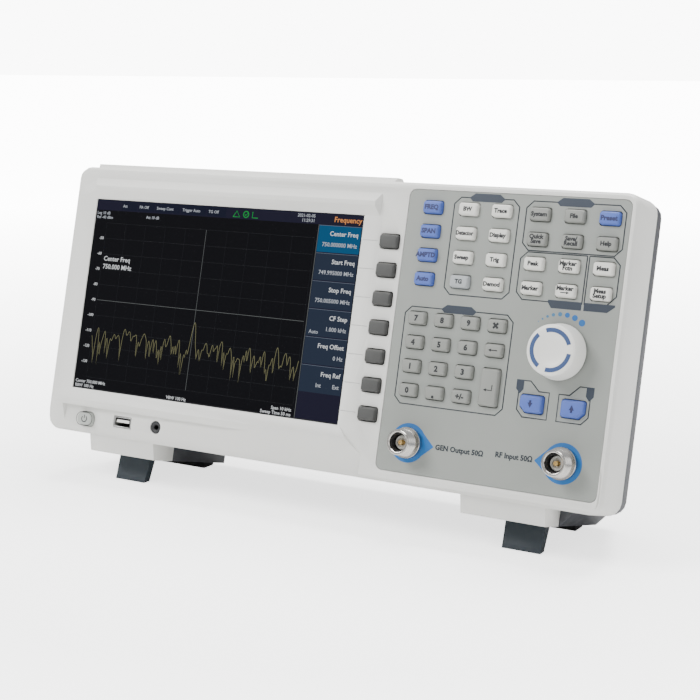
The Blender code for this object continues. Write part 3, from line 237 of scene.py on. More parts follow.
def finish(name, colour, roughness, metallic=0.0, grain=2600.0, relief=0.25, tone=0.06, dust=0.12, wear=0.4,
           speck=0.0, coat=0.0):
    """A surface with its own grain, cloudy tone, settled dust and handled edges."""
    made = bpy.data.materials.new(name)
    made.use_nodes = True
    tree = made.node_tree
    shader = tree.nodes["Principled BSDF"]
    texture, dusty, worn = (tree.nodes.new("ShaderNodeGroup") for _ in range(3))
    texture.node_tree, dusty.node_tree, worn.node_tree = grain_group, dust_group, wear_group
    texture.inputs["Scale"].default_value = grain
    dusty.inputs["Amount"].default_value = dust
    worn.inputs["Amount"].default_value = wear
    darker = tuple(channel * (1 - tone) for channel in colour)
    lighter = tuple(min(1.0, channel * (1 + tone * 0.6)) for channel in colour)
    tint = mixed(tree, texture.outputs["Tone"], darker, lighter)
    if speck:
        tint = mixed(tree, sum_up(tree, "MULTIPLY", texture.outputs["Speck"], speck), tint,
                     tuple(channel * 0.5 for channel in colour))
    rubbed_pale = tuple(min(1.0, channel * 1.25 + 0.02) for channel in colour)
    tint = mixed(tree, worn.outputs["Mask"], tint, rubbed_pale)
    tint = mixed(tree, dusty.outputs["Mask"], tint, (0.56, 0.54, 0.50))
    tree.links.new(tint, shader.inputs["Base Color"])
    rough = between(tree, texture.outputs["Height"], 0.3, 0.7, roughness - 0.05, roughness + 0.05)
    rough = sum_up(tree, "ADD", rough, sum_up(tree, "MULTIPLY", dusty.outputs["Mask"], 0.6))
    rough = sum_up(tree, "SUBTRACT", rough, sum_up(tree, "MULTIPLY", worn.outputs["Mask"], 0.12), clamp=True)
    tree.links.new(rough, shader.inputs["Roughness"])
    shader.inputs["Metallic"].default_value = metallic
    if coat:
        shader.inputs["Coat Weight"].default_value = coat
        shader.inputs["Coat Roughness"].default_value = 0.08
    bump = tree.nodes.new("ShaderNodeBump")
    bump.inputs["Strength"].default_value = relief
    bump.inputs["Distance"].default_value = 0.00005
    tree.links.new(texture.outputs["Height"], bump.inputs["Height"])
    tree.links.new(bump.outputs["Normal"], shader.inputs["Normal"])
    return made


bpy.ops.mesh.primitive_plane_add(size=60.0, location=(0.0, 0.0, -0.0002))
floor = bpy.context.object
floor.name = "studio_floor"
floor_white = finish("pale_paper_floor", (0.93, 0.93, 0.92), 0.85, grain=700.0, relief=0.1, tone=0.01,
                     dust=0.0, wear=0.0)
floor.data.materials.append(floor_white)

# The sweep of paper is overexposed for the camera only, more so further away, so that it meets the white
# room.
paper = floor_white.node_tree
centre = paper.nodes.new("ShaderNodeTexCoord")
reach = paper.nodes.new("ShaderNodeVectorMath")
reach.operation = "LENGTH"
paper.links.new(centre.outputs["Object"], reach.inputs[0])
for_camera = paper.nodes.new("ShaderNodeLightPath")
overexposed = between(paper, reach.outputs["Value"], 0.3, 2.2, 2.0, 12.0)
shown = sum_up(paper, "MULTIPLY", overexposed, for_camera.outputs["Is Camera Ray"])
paper.nodes["Principled BSDF"].inputs["Emission Color"].default_value = (1.0, 1.0, 1.0, 1.0)
paper.links.new(shown, paper.nodes["Principled BSDF"].inputs["Emission Strength"])


def copied(node, edge, segments=2, angle=25):
    """A copy of a CAD node with its triangles merged into flat faces and its edges rounded."""
    made = frame["nodes"][node].copy()
    made.data = made.data.copy()
    made.parent = None
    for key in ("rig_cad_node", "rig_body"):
        if key in made:
            del made[key]
    bpy.context.scene.collection.objects.link(made)
    made.data.materials.clear()
    choose(made)
    bpy.ops.object.mode_set(mode="EDIT")
    bpy.ops.mesh.select_all(action="SELECT")
    bpy.ops.mesh.remove_doubles(threshold=0.00002)
    bpy.ops.mesh.dissolve_limited(angle_limit=math.radians(0.6))
    bpy.ops.object.mode_set(mode="OBJECT")
    if edge:
        soften(made, edge, segments, angle)
    bpy.ops.object.shade_smooth_by_angle(angle=math.radians(35))
    return made


def soften(piece, edge, segments=2, angle=25):
    """Rounds every edge sharper than the angle."""
    choose(piece)
    step = piece.modifiers.new("rounded_edges", "BEVEL")
    step.width = edge
    step.segments = segments
    step.limit_method = "ANGLE"
    step.angle_limit = math.radians(angle)
    step.harden_normals = False
    bpy.ops.object.modifier_apply(modifier=step.name)


def stand_for(piece, node, material):
    """The piece takes a CAD node's place and rides on that node's body."""
    body = frame["nodes"][node]["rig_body"]
    piece.name = piece.data.name = f"{node}_finished"
    if not piece.data.materials:
        piece.data.materials.append(material)
    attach(piece, body)
    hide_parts(node)


# ---------------------------------------------------------------- front bezel and rear cover
# The bezel is one injection moulding in warm white ABS with a fine spark-eroded texture. The cover behind it
# is a darker moulding of the same kind. Both have small radii on every outer edge.
casing_white = finish("casing_white_abs", (0.66, 0.655, 0.625), 0.47, relief=0.35, tone=0.03, dust=0.10)
stand_for(copied("front_bezel", 0.0005), "front_bezel", casing_white)
cover_grey = finish("cover_dark_abs", (0.042, 0.044, 0.051), 0.52, relief=0.5, tone=0.10, dust=0.05)
stand_for(copied("rear_cover", 0.0005), "rear_cover", cover_grey)

# ---------------------------------------------------------------- screen glass
# A thin sheet of dark glass, bonded flush in its window, lies in front of the display's lit cells. It is
# smooth and slightly reflective.
MM = 0.001
glass = finish("black_screen_glass", (0.006, 0.007, 0.009), 0.16, grain=300.0, relief=0.02, tone=0.2,
               dust=0.02, wear=0.0, coat=0.3)


def refinished(node, material):
    """Gives a CAD node that stays as it is its final material."""
    frame["nodes"][node].data.materials.clear()
    frame["nodes"][node].data.materials.append(material)


refinished("lcd_panel", glass)


def lit(name, colour, strength):
    """Backlit display cells: fine upright stripes, and a backlight that is a little uneven."""
    made = bpy.data.materials.new(name)
    made.use_nodes = True
    tree = made.node_tree
    shader = tree.nodes["Principled BSDF"]
    shader.inputs["Base Color"].default_value = (0.004, 0.004, 0.005, 1.0)
    shader.inputs["Roughness"].default_value = 0.18
    shader.inputs["Specular IOR Level"].default_value = 0.03
    shader.inputs["Emission Strength"].default_value = strength
    place = tree.nodes.new("ShaderNodeTexCoord")
    cells = tree.nodes.new("ShaderNodeTexWave")
    cells.bands_direction = "X"
    cells.inputs["Scale"].default_value = 260.0
    tree.links.new(place.outputs["Object"], cells.inputs["Vector"])
    stripes = between(tree, cells.outputs["Fac"], 0.0, 1.0, 0.0, 0.10)
    uneven = between(tree, noise(tree, 9.0, 2.0).outputs["Fac"], 0.3, 0.7, 0.0, 0.12)
    dimmer = tuple(channel * 0.5 for channel in colour)
    glow = mixed(tree, sum_up(tree, "ADD", stripes, uneven), colour, dimmer)
    tree.links.new(glow, shader.inputs["Emission Color"])
    return made


def facing_front(piece):
    """Turns a flat piece that was made lying down to face the front."""
    piece.rotation_euler = (math.radians(90), 0.0, 0.0)


def printed_words(words, x, z, size, y, material, align="LEFT", bold=0.02, widest=None, spacing=0.8):
    """Words as a thin raised print whose first base line starts at x, z in front of y."""
    bpy.ops.object.select_all(action="DESELECT")
    bpy.ops.object.text_add(location=(x, y, z))
    made = bpy.context.object
    made.data.body = words
    made.data.size = size
    made.data.align_x = align
    made.data.offset = bold * size
    made.data.extrude = 0.00001
    made.data.resolution_u = 2
    made.data.space_line = spacing
    facing_front(made)
    choose(made)
    bpy.ops.object.convert(target="MESH")
    if widest and made.dimensions.x > widest:
        made.scale.x *= widest / made.dimensions.x
    made.data.materials.clear()
    made.data.materials.append(material)
    return made


def printed_patch(outlines, y, material, thick=0.00002):
    """A flat filled print. Outlines inside others are holes."""
    data = bpy.data.curves.new("patch", "CURVE")
    data.dimensions = "2D"
    data.fill_mode = "BOTH"
    data.extrude = thick / 2
    for outline in outlines:
        line = data.splines.new("POLY")
        line.points.add(len(outline) - 1)
        for point, (x, z) in zip(line.points, outline):
            point.co = (x, z, 0.0, 1.0)
        line.use_cyclic_u = True
    made = bpy.data.objects.new("patch", data)
    bpy.context.scene.collection.objects.link(made)
    made.location.y = y
    facing_front(made)
    choose(made)
    bpy.ops.object.convert(target="MESH")
    made.data.materials.clear()
    made.data.materials.append(material)
    return made


def printed_line(points, width, y, material, closed=False):
    """A flat printed line of even width through the points, with mitred corners."""
    data = bpy.data.curves.new("line", "CURVE")
    data.dimensions = "3D"
    data.bevel_depth = width / 2
    data.bevel_resolution = 0
    data.use_fill_caps = True
    line = data.splines.new("POLY")
    line.points.add(len(points) - 1)
    for point, (x, z) in zip(line.points, points):
        point.co = (x, 0.0, z, 1.0)
    line.use_cyclic_u = closed
    made = bpy.data.objects.new("line", data)
    bpy.context.scene.collection.objects.link(made)
    made.location.y = y
    made.scale.y = 0.00002 / width
    choose(made)
    bpy.ops.object.convert(target="MESH")
    made.data.materials.clear()
    made.data.materials.append(material)
    return made


def rectangle(left, low, right, high):
    return [(left, low), (right, low), (right, high), (left, high)]


def disc(x, z, radius, sides=32):
    turns = [2 * math.pi * i / sides for i in range(sides)]
    return [(x + radius * math.cos(turn), z + radius * math.sin(turn)) for turn in turns]


def leaned_back(items):
    """Leans pieces made in the upright layout back with the housing."""
    for item in items:
        choose(item)
        bpy.ops.object.transform_apply(location=True, rotation=True, scale=True)
        item.data.transform(home)


def joined(items):
    """Joins pieces into the first of them."""
    choose(*items)
    if len(items) > 1:
        bpy.ops.object.join()
    return bpy.context.view_layer.objects.active


def gathered(name, items, body):
    """Joins prints into one piece, leans it back with the housing and lets it ride on a body."""
    leaned_back(items)
    made = joined(items)
    made.name = made.data.name = name
    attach(made, body)


# ---------------------------------------------------------------- picture on the display
# The display shows a spectrum: a status bar, a grid with a noisy trace and one peak, and a menu beside the
# soft keys. Everything is laid out from the screen's upper left corner, in millimetres.
glass_low, glass_high = seat("lcd_panel")
screen_left = glass_low.x + 6.5 * MM
screen_top = glass_high.z - 6.8 * MM
LAYER = 0.00004
picture_y = glass_low.y - 1.5 * LAYER


TEXT_SCALE = 1.14


def across(u):
    return screen_left + u * MM


def down(v):
    return screen_top - v * MM


def panel_on_screen(u0, v0, u1, v1, material, layer=0):
    outline = rectangle(across(u0), down(v1), across(u1), down(v0))
    return printed_patch([outline], picture_y - layer * LAYER, material)


def words_on_screen(words, u, v, height, material, align="LEFT", widest=None):
    return printed_words(words, across(u), down(v), height * TEXT_SCALE * MM, picture_y - 3 * LAYER, material,
                         align, 0.016, widest * MM if widest else None, 0.95)


def line_on_screen(points, width, material, layer=1):
    spots = [(across(u), down(v)) for u, v in points]
    return printed_line(spots, width * MM, picture_y - layer * LAYER, material)


SCREEN_WIDE, SCREEN_TALL = 218.3, 134.2
GRID_LEFT, GRID_TOP, GRID_RIGHT, GRID_LOW = 11.2, 16.6, 183.4, 125.7
MENU_LEFT, MENU_PITCH, MENU_TOP = 185.9, 18.1, 8.0
plot_black = lit("lit_plot_black", (0.0, 0.0, 0.0), 0.0)
bar_navy = lit("lit_bar_navy", (0.010, 0.009, 0.026), 1.0)
box_navy = lit("lit_box_navy", (0.005, 0.007, 0.022), 1.0)
menu_slate = lit("lit_menu_slate", (0.018, 0.028, 0.052), 1.0)
menu_blue = lit("lit_menu_blue", (0.004, 0.085, 0.200), 1.0)
menu_light = lit("lit_menu_light_edge", (0.16, 0.19, 0.25), 1.0)
grid_dim = lit("lit_grid_dim", (0.011, 0.012, 0.014), 1.0)
grid_bright = lit("lit_grid_bright", (0.16, 0.17, 0.17), 1.0)
text_white = lit("lit_text_white", (0.70, 0.72, 0.74), 1.1)
text_grey = lit("lit_text_grey", (0.50, 0.53, 0.58), 1.0)
text_orange = lit("lit_text_orange", (0.80, 0.30, 0.08), 1.1)
icon_green = lit("lit_icon_green", (0.01, 0.34, 0.05), 1.0)
trace_olive = lit("lit_trace_olive", (0.25, 0.24, 0.12), 1.0)

picture = [panel_on_screen(0.4, 0.4, SCREEN_WIDE - 0.8, SCREEN_TALL - 0.8, plot_black),
           panel_on_screen(0.4, 0.4, SCREEN_WIDE - 0.8, 7.7, bar_navy, 1),
           panel_on_screen(MENU_LEFT, 7.7, SCREEN_WIDE - 0.8, SCREEN_TALL - 0.8, bar_navy, 1),
           line_on_screen([(185.4, 7.7), (185.4, SCREEN_TALL - 0.8)], 0.35, grid_bright, 2)]
for i in range(6):
    top = MENU_TOP + i * MENU_PITCH
    picture.append(panel_on_screen(MENU_LEFT, top, SCREEN_WIDE - 0.9, top + MENU_PITCH - 0.7,
                                   menu_blue if i == 0 else menu_slate, 2))
    lit_edge = [(MENU_LEFT, top + 0.1), (SCREEN_WIDE - 0.9, top + 0.1)]
    picture.append(line_on_screen(lit_edge, 0.25, menu_light, 3))
for i in range(11):
    u = GRID_LEFT + (GRID_RIGHT - GRID_LEFT) * i / 10
    v = GRID_TOP + (GRID_LOW - GRID_TOP) * i / 10
    ink = grid_bright if i == 5 else grid_dim
    width = 0.28 if i in (0, 5, 10) else 0.30
    picture.append(line_on_screen([(u, GRID_TOP), (u, GRID_LOW)], width, ink))
    picture.append(line_on_screen([(GRID_LEFT, v), (GRID_RIGHT, v)], width, ink))
    if 0 < i < 10:
        picture.append(words_on_screen(str(-40 - 10 * i), GRID_LEFT - 1.2, v + 0.9, 2.5, text_white, "RIGHT"))

# Receiver noise: filtered random current on a decibel scale, with one carrier in the middle.
draw = random.Random(11)
samples, smooth = 460, 3.6
real, imaginary = ([draw.gauss(0, 1) for _ in range(samples)] for _ in range(2))
window = [math.exp(-(k / smooth) ** 2) for k in range(-12, 13)]
trace = []
for i in range(samples):
    in_phase, quadrature = (sum(w * wave[(i + k - 12) % samples] for k, w in enumerate(window))
                            for wave in (real, imaginary))
    carrier = 22.0 * math.exp(-((i - samples * 0.503) / 4.5) ** 2)
    level = 20 * math.log10(math.hypot(in_phase + carrier, quadrature) / 3.2 + 0.02)
    v = max(76.0, min(116.0, 95.0 - level * 0.95))
    trace.append((GRID_LEFT + (GRID_RIGHT - GRID_LEFT) * i / (samples - 1), v))
picture.append(line_on_screen(trace, 0.34, trace_olive, 3))

status = (("Att", 22.5), ("PA Off", 37.0), ("Sweep Cont", 52.0), ("Trigger Auto", 74.0), ("TG Off", 95.8))
edges = [u for _, u in status] + [112.6]
for (words, u), end in zip(status, edges[1:]):
    picture.append(panel_on_screen(u, 1.0, end - 0.9, 7.0, box_navy, 2))
    picture.append(words_on_screen(words, u + 1.2, 5.0, 2.5, text_grey, widest=end - u - 3.0))
triangle_shape = [(117.5, 6.4), (120.2, 2.4), (122.9, 6.4), (117.5, 6.4)]
axes_shape = [(133.0, 2.4), (133.0, 6.4), (137.5, 6.4)]
for corners in (triangle_shape, axes_shape):
    picture.append(line_on_screen(corners, 0.6, icon_green, 3))
clock_x, clock_z = across(127.8), down(4.4)
clock_rim = [disc(clock_x, clock_z, 2.4 * MM), disc(clock_x, clock_z, 1.7 * MM)]
picture.append(printed_patch(clock_rim, picture_y - 3 * LAYER, icon_green))
picture.append(line_on_screen([(126.8, 4.2), (127.7, 5.2), (129.2, 3.4)], 0.5, icon_green, 3))
picture += [words_on_screen("11:29:31", 182.0, 6.6, 2.6, text_grey, "RIGHT"),
            words_on_screen("2021-02-05", 182.0, 3.5, 2.6, text_grey, "RIGHT"),
            words_on_screen("Frequency", 217.0, 5.6, 4.3, text_orange, "RIGHT"),
            words_on_screen("Ref -40 dBm", 1.5, 13.6, 2.5, text_grey),
            words_on_screen("Log 10 dB", 1.5, 10.6, 2.5, text_grey),
            words_on_screen("Att 10 dB", 45.0, 11.8, 2.5, text_grey),
            words_on_screen("Center Freq", 12.6, 43.2, 4.1, text_white),
            words_on_screen("750.000 MHz", 12.6, 48.8, 4.1, text_white),
            words_on_screen("Center 750.000 MHz", 2.0, 129.9, 2.7, text_white),
            words_on_screen("RBW 100 Hz", 2.0, 133.0, 2.7, text_white),
            words_on_screen("VBW 100 Hz", 82.0, 133.0, 2.7, text_white),
            words_on_screen("Span 10 kHz", 182.5, 129.9, 2.7, text_white, "RIGHT"),
            words_on_screen("Sweep Time 50 ms", 182.5, 133.0, 2.7, text_white, "RIGHT")]
menu = (("Center Freq", "750.000000 MHz"), ("Start Freq", "749.995000 MHz"), ("Stop Freq", "750.005000 MHz"),
        ("CF Step", "1.000 kHz"), ("Freq Offset", "0 Hz"), ("Freq Ref", "Int        Ext"))
for i, (title, value) in enumerate(menu):
    top = MENU_TOP + i * MENU_PITCH
    picture.append(words_on_screen(title, 215.6, top + 6.6, 3.7, text_white, "RIGHT"))
    picture.append(words_on_screen(value, 215.6, top + 13.6, 3.3, text_grey, "RIGHT"))
picture.append(words_on_screen("Auto", 188.0, MENU_TOP + 3 * MENU_PITCH + 15.8, 3.0, text_grey))
gathered("display_picture", picture, "housing")

# ---------------------------------------------------------------- keys and their legends
# Each key is moulded silicone with a hard matt top coat, and its legend is printed on the cap. The 19
# function keys of the control, utility and marker groups are moulded on one mat.
key_white = finish("key_white_silicone", (0.66, 0.655, 0.61), 0.55, grain=3200.0, relief=0.30, tone=0.04,
                   dust=0.08)
key_grey = finish("key_grey_silicone", (0.215, 0.220, 0.203), 0.55, grain=3200.0, relief=0.30, tone=0.05,
                  dust=0.08)
key_dim = finish("key_dim_silicone", (0.34, 0.36, 0.37), 0.60, grain=3200.0, relief=0.30, tone=0.05,
                 dust=0.08)
key_dark = finish("key_charcoal_silicone", (0.046, 0.046, 0.044), 0.58, grain=3200.0, relief=0.35,
                  tone=0.10, dust=0.12)
key_blue = finish("key_blue_silicone", (0.060, 0.110, 0.400), 0.52, grain=3200.0, relief=0.30, tone=0.06,
                  dust=0.06)
legend_black = finish("legend_black_ink", (0.008, 0.009, 0.011), 0.50, grain=5000.0, relief=0.2,
                      tone=0.15, dust=0.03, wear=0.0)
legend_navy = finish("legend_navy_ink", (0.012, 0.016, 0.075), 0.50, grain=5000.0, relief=0.2,
                     tone=0.15, dust=0.03, wear=0.0)
KEY_EDGE = 0.00028
LEGEND_LIFT = 0.00003


def legend(words, x, z, wide, y, material=legend_black, size=0.0036):
    """One or two lines of print, centred on a key cap."""
    lines = words.count("\n") + 1
    base = z - size * 0.36 + (lines - 1) * size * 0.42
    return printed_words(words, x, base, size, y - LEGEND_LIFT, material, "CENTER", 0.055, wide * 0.90, 0.78)


def arrow(points, x, z, y, material, width=0.00065, head=0.0013):
    """A thin arrow through the points, whose last one is its tip, measured from x, z."""
    spots = [(x + u, z + v) for u, v in points]
    (u0, v0), (u1, v1) = spots[-2], spots[-1]
    length = math.hypot(u1 - u0, v1 - v0)
    du, dv = (u1 - u0) / length, (v1 - v0) / length
    neck = (u1 - du * head * 1.5, v1 - dv * head * 1.5)
    across_u, across_v = dv * head * 0.75, du * head * 0.75
    tip = [(neck[0] - across_u, neck[1] + across_v), (neck[0] + across_u, neck[1] - across_v), (u1, v1)]
    return [printed_line(spots[:-1] + [neck], width, y - LEGEND_LIFT, material),
            printed_patch([tip], y - LEGEND_LIFT, material)]


def key_centre(node):
    low, high = seat(node)
    return (low.x + high.x) / 2, (low.z + high.z) / 2, high.x - low.x, low.y


def finished_key(node, material, prints):
    """A CAD key with softened edges and its legend printed on the cap, as one piece."""
    cap = copied(node, KEY_EDGE)
    cap.data.materials.append(material)
    leaned_back(prints)
    stand_for(joined([cap] + prints), node, material)


number_pad = [(f"number_key_{i}", str(i), 0.0048) for i in range(10)]
for node, words, size in number_pad + [("point_key", ".", 0.0080), ("sign_key", "+/-", 0.0046),
                                       ("clear_key", "×", 0.0072)]:
    x, z, wide, y = key_centre(node)
    finished_key(node, key_grey, [legend(words, x, z, wide, y, size=size)])
x, z, wide, y = key_centre("back_key")
finished_key("back_key", key_grey, arrow([(0.0030, 0.0), (-0.0030, 0.0)], x, z, y, legend_black))
x, z, wide, y = key_centre("enter_key")
bent = [(0.0026, 0.0016), (0.0026, -0.0016), (-0.0030, -0.0016)]
finished_key("enter_key", key_grey, arrow(bent, x, z, y, legend_black))
for node, words in (("frequency_key", "FREQ"), ("span_key", "SPAN"), ("amplitude_key", "AMPTD"),
                    ("auto_key", "Auto"), ("preset_key", "Preset")):
    x, z, wide, y = key_centre(node)
    finished_key(node, key_blue, [legend(words, x, z, wide, y, legend_navy, 0.0040)])
for node, way in (("down_key", -1), ("up_key", 1)):
    x, z, wide, y = key_centre(node)
    shaft = [(0.0, -0.0022 * way), (0.0, 0.0024 * way)]
    finished_key(node, key_blue, arrow(shaft, x, z, y, legend_navy, 0.0013, 0.0021))
for i in range(7):
    finished_key(f"soft_key_{i + 1}", key_dark, [])

# The mat: two columns of four, then three columns of two and two, less the place of the preset key.
function_z = [key_centre(node)[1] for node in ("frequency_key", "span_key", "amplitude_key", "auto_key")]
preset_x, preset_z, key_wide, key_front = key_centre("preset_key")
key_wide -= 0.0020
utility_x = (preset_x - 0.0438, preset_x - 0.0217, preset_x)
control_x = (preset_x - 0.0910, preset_x - 0.0689)
utility_z = (preset_z, preset_z - 0.01497)
marker_z = (preset_z - 0.0296, preset_z - 0.0443)
control_words = (("BW", "Detector", "Sweep", "TG"), ("Trace", "Display", "Trig", "Demod"))
mat_prints = []
for x, column in zip(control_x, control_words):
    mat_prints += [legend(words, x, z, key_wide, key_front) for z, words in zip(function_z, column)]
for z, row in zip(utility_z, (("System", "File", None), ("Quick\nSave", "Save/\nRecall", "Help"))):
    mat_prints += [legend(words, x, z, key_wide, key_front) for x, words in zip(utility_x, row) if words]
for z, row in zip(marker_z, (("Peak", "Marker\nFctn", "Meas"), ("Marker", None, "Meas\nSetup"))):
    mat_prints += [legend(words, x, z, key_wide, key_front) for x, words in zip(utility_x, row) if words]
mat_prints.append(legend("Marker\n", utility_x[1], marker_z[1], key_wide, key_front))
mat_prints += arrow([(-0.0026, -0.0012), (0.0030, -0.0012)], utility_x[1], marker_z[1], key_front,
                    legend_black, 0.0006, 0.0012)
KEY_REACH_X, KEY_REACH_Z = 0.0090, 0.0062
mat = copied("key_mat", KEY_EDGE)
for material in (key_white, key_grey, key_dim):
    mat.data.materials.append(material)
grey_places = [(x, z) for z in utility_z for x in utility_x]
for face in mat.data.polygons:
    spot = upright @ face.center
    for index, places in ((1, grey_places), (2, [(control_x[0], function_z[3])])):
        if any(abs(spot.x - x) < KEY_REACH_X and abs(spot.z - z) < KEY_REACH_Z for x, z in places):
            face.material_index = index
leaned_back(mat_prints)
stand_for(joined([mat] + mat_prints), "key_mat", key_white)

# ---------------------------------------------------------------- control panel overlay and its print
# A grey printed polycarbonate sheet lies sunk in the bezel. Dark lines and slate tabs box in the key groups,
# growing blue dots run over the knob, and a blue ring marks each radio connector.
panel_grey = finish("panel_grey_polycarbonate", (0.250, 0.262, 0.243), 0.42, grain=4200.0, relief=0.35,
                    tone=0.035, dust=0.06)
refinished("panel_overlay", panel_grey)
line_ink = finish("panel_line_ink", (0.013, 0.018, 0.025), 0.45, grain=4200.0, relief=0.2, tone=0.10,
                  dust=0.05, wear=0.0)
tab_ink = finish("panel_slate_ink", (0.020, 0.029, 0.046), 0.42, grain=4200.0, relief=0.2, tone=0.12,
                 dust=0.05, wear=0.0)
blue_ink = finish("panel_blue_ink", (0.008, 0.110, 0.340), 0.42, grain=4200.0, relief=0.2, tone=0.08,
                  dust=0.05, wear=0.0)
pale_ink = finish("panel_pale_blue_ink", (0.045, 0.150, 0.280), 0.42, grain=4200.0, relief=0.2,
                  tone=0.08, dust=0.05, wear=0.0)
PRINT_Y = seat("panel_overlay")[0].y - 0.00003
LINE = 0.00078


def group_box(left, low, right, high, cut=0.0042, small=None):
    """Outline of a key group with cut corners. Corners count from the lower left, and small resizes some."""
    cuts = [cut] * 4
    for corner, size in (small or {}).items():
        cuts[corner] = size
    points = []
    corners = ((left, low, 1, 1), (right, low, -1, 1), (right, high, -1, -1), (left, high, 1, -1))
    for (x, z, in_x, in_z), size in zip(corners, cuts):
        first, second = (x, z + in_z * size), (x + in_x * size, z)
        points += [first, second] if in_x == in_z else [second, first]
    return points


def tab(x, z, wide, tall):
    """A slate title tab: a trapezoid on top of the line."""
    slant = tall * 0.75
    outer, inner = z + tall * 0.55, z - tall * 0.45
    left, right = x - wide / 2, x + wide / 2
    return [(left, z), (left + slant, outer), (right - slant, outer), (right, z),
            (right - slant * 0.6, inner), (left + slant * 0.6, inner)]


prints = []
control_left, control_right = control_x[0] - 0.0107, control_x[1] + 0.0107
control_high = function_z[0] + 0.0073
utility_left, utility_right = utility_x[0] - 0.0097, utility_x[2] + 0.0092
split_x = (utility_x[1] + utility_x[2]) / 2 + 0.0002
low_line, high_line = marker_z[1] - 0.0070, marker_z[0] + 0.0069
boxes = [group_box(control_left, function_z[3] - 0.0082, control_right, control_high),
         group_box(utility_left, utility_z[1] - 0.0068, utility_right, control_high),
         group_box(utility_left, low_line, split_x - 0.0007, high_line, small={1: 0.0003, 2: 0.0003}),
         group_box(split_x + 0.0007, low_line, utility_right, high_line,
                   small={0: 0.0003, 3: 0.0003, 1: 0.0060})]
number_x, number_z, _, _ = key_centre("number_key_7")
last_z, clear_x = key_centre("sign_key")[1], key_centre("clear_key")[0]
boxes.append(group_box(number_x - 0.0095, last_z - 0.0086, clear_x + 0.0096, number_z + 0.0071))
for outline in boxes:
    prints.append(printed_line(outline, LINE, PRINT_Y, line_ink, closed=True))
TAB_WIDE, TAB_TALL = 0.0240, 0.0050
tabs = [tab((control_left + control_right) / 2, control_high, TAB_WIDE, TAB_TALL),
        tab((utility_left + utility_right) / 2 - 0.0005, control_high, TAB_WIDE, TAB_TALL),
        tab((number_x + clear_x) / 2, number_z + 0.0071, TAB_WIDE, TAB_TALL)]
upper, lower = low_line + 0.0012, low_line - 0.0036
tabs.append([(split_x - 0.0218, upper), (split_x - 0.0007, upper), (split_x - 0.0007, lower),
             (split_x - 0.0196, lower), (split_x - 0.0222, low_line)])
tabs.append([(split_x + 0.0007, upper), (utility_right, upper), (utility_right, low_line),
             (utility_right - 0.0045, lower), (split_x + 0.0007, lower)])
for outline in tabs:
    prints.append(printed_patch([outline], PRINT_Y - 0.00002, tab_ink))

# The outlines round the arrow keys rise towards the knob on their outer sides.
for node, side in (("down_key", -1), ("up_key", 1)):
    x, z, _, _ = key_centre(node)
    outline = [(-0.0100, -0.0082), (-0.0100, 0.0078), (-0.0035, 0.0078), (0.0025, 0.0135),
               (0.0095, 0.0135), (0.0095, -0.0040), (0.0055, -0.0082)]
    flag = [(0.0066, 0.0138), (0.0114, 0.0138), (0.0114, 0.0082), (0.0088, 0.0055), (0.0066, 0.0082)]
    outline, flag = [[(x + side * u, z + v) for u, v in points] for points in (outline, flag)]
    prints.append(printed_line(outline, LINE, PRINT_Y, line_ink, closed=True))
    prints.append(printed_patch([flag], PRINT_Y - 0.00002, tab_ink))

# Eight dots on an arc over the knob grow clockwise.
DOT_ARC = 0.0222
knob_low, knob_high = seat("tuning_knob")
knob_x, knob_z = (knob_low.x + knob_high.x) / 2, (knob_low.z + knob_high.z) / 2
for i in range(8):
    angle = math.radians(131 - 7.2 * i - 0.52 * i * i)
    spot = disc(knob_x - 0.0013 + DOT_ARC * math.cos(angle), knob_z + DOT_ARC * math.sin(angle),
                0.00034 + 0.00024 * i, 24)
    prints.append(printed_patch([spot], PRINT_Y, blue_ink if i > 4 else pale_ink))

# Each connector stands on a blue ring that comes to a point on one side.
for node, side, words in (("gen_connector", 1, "GEN Output 50Ω"), ("rf_connector", -1, "RF Input 50Ω")):
    low, high = seat(node)
    x, z = (low.x + high.x) / 2, (low.z + high.z) / 2
    ring = 0.0122
    open_angle = math.radians(34)
    outline = [(x + side * (ring + 0.0055), z - 0.0004)]
    for k in range(37):
        angle = open_angle + (2 * math.pi - 2 * open_angle) * k / 36
        outline.append((x + side * ring * math.cos(angle), z + ring * math.sin(angle)))
    prints.append(printed_patch([outline, disc(x, z, 0.0081, 40)], PRINT_Y, blue_ink))
    prints.append(printed_words(words, x + side * 0.0188, z - 0.0016, 0.0044, PRINT_Y, line_ink,
                                "LEFT" if side > 0 else "RIGHT", 0.045))
gathered("panel_print", prints, "housing")

# Thin grey leader lines run from the screen's edge to the soft keys.
screen_right = across(SCREEN_WIDE)
leader_ink = finish("bezel_grey_ink", (0.46, 0.46, 0.45), 0.5, grain=4200.0, relief=0.2, tone=0.05,
                    dust=0.05, wear=0.0)
leaders = []
for i in range(7):
    x, z, wide, _ = key_centre(f"soft_key_{i + 1}")
    ends = [(screen_right + 0.0010, z), (x - wide / 2 - 0.0010, z)]
    leaders.append(printed_line(ends, 0.00045, -0.00003, leader_ink))
gathered("soft_key_leaders", leaders, "housing")

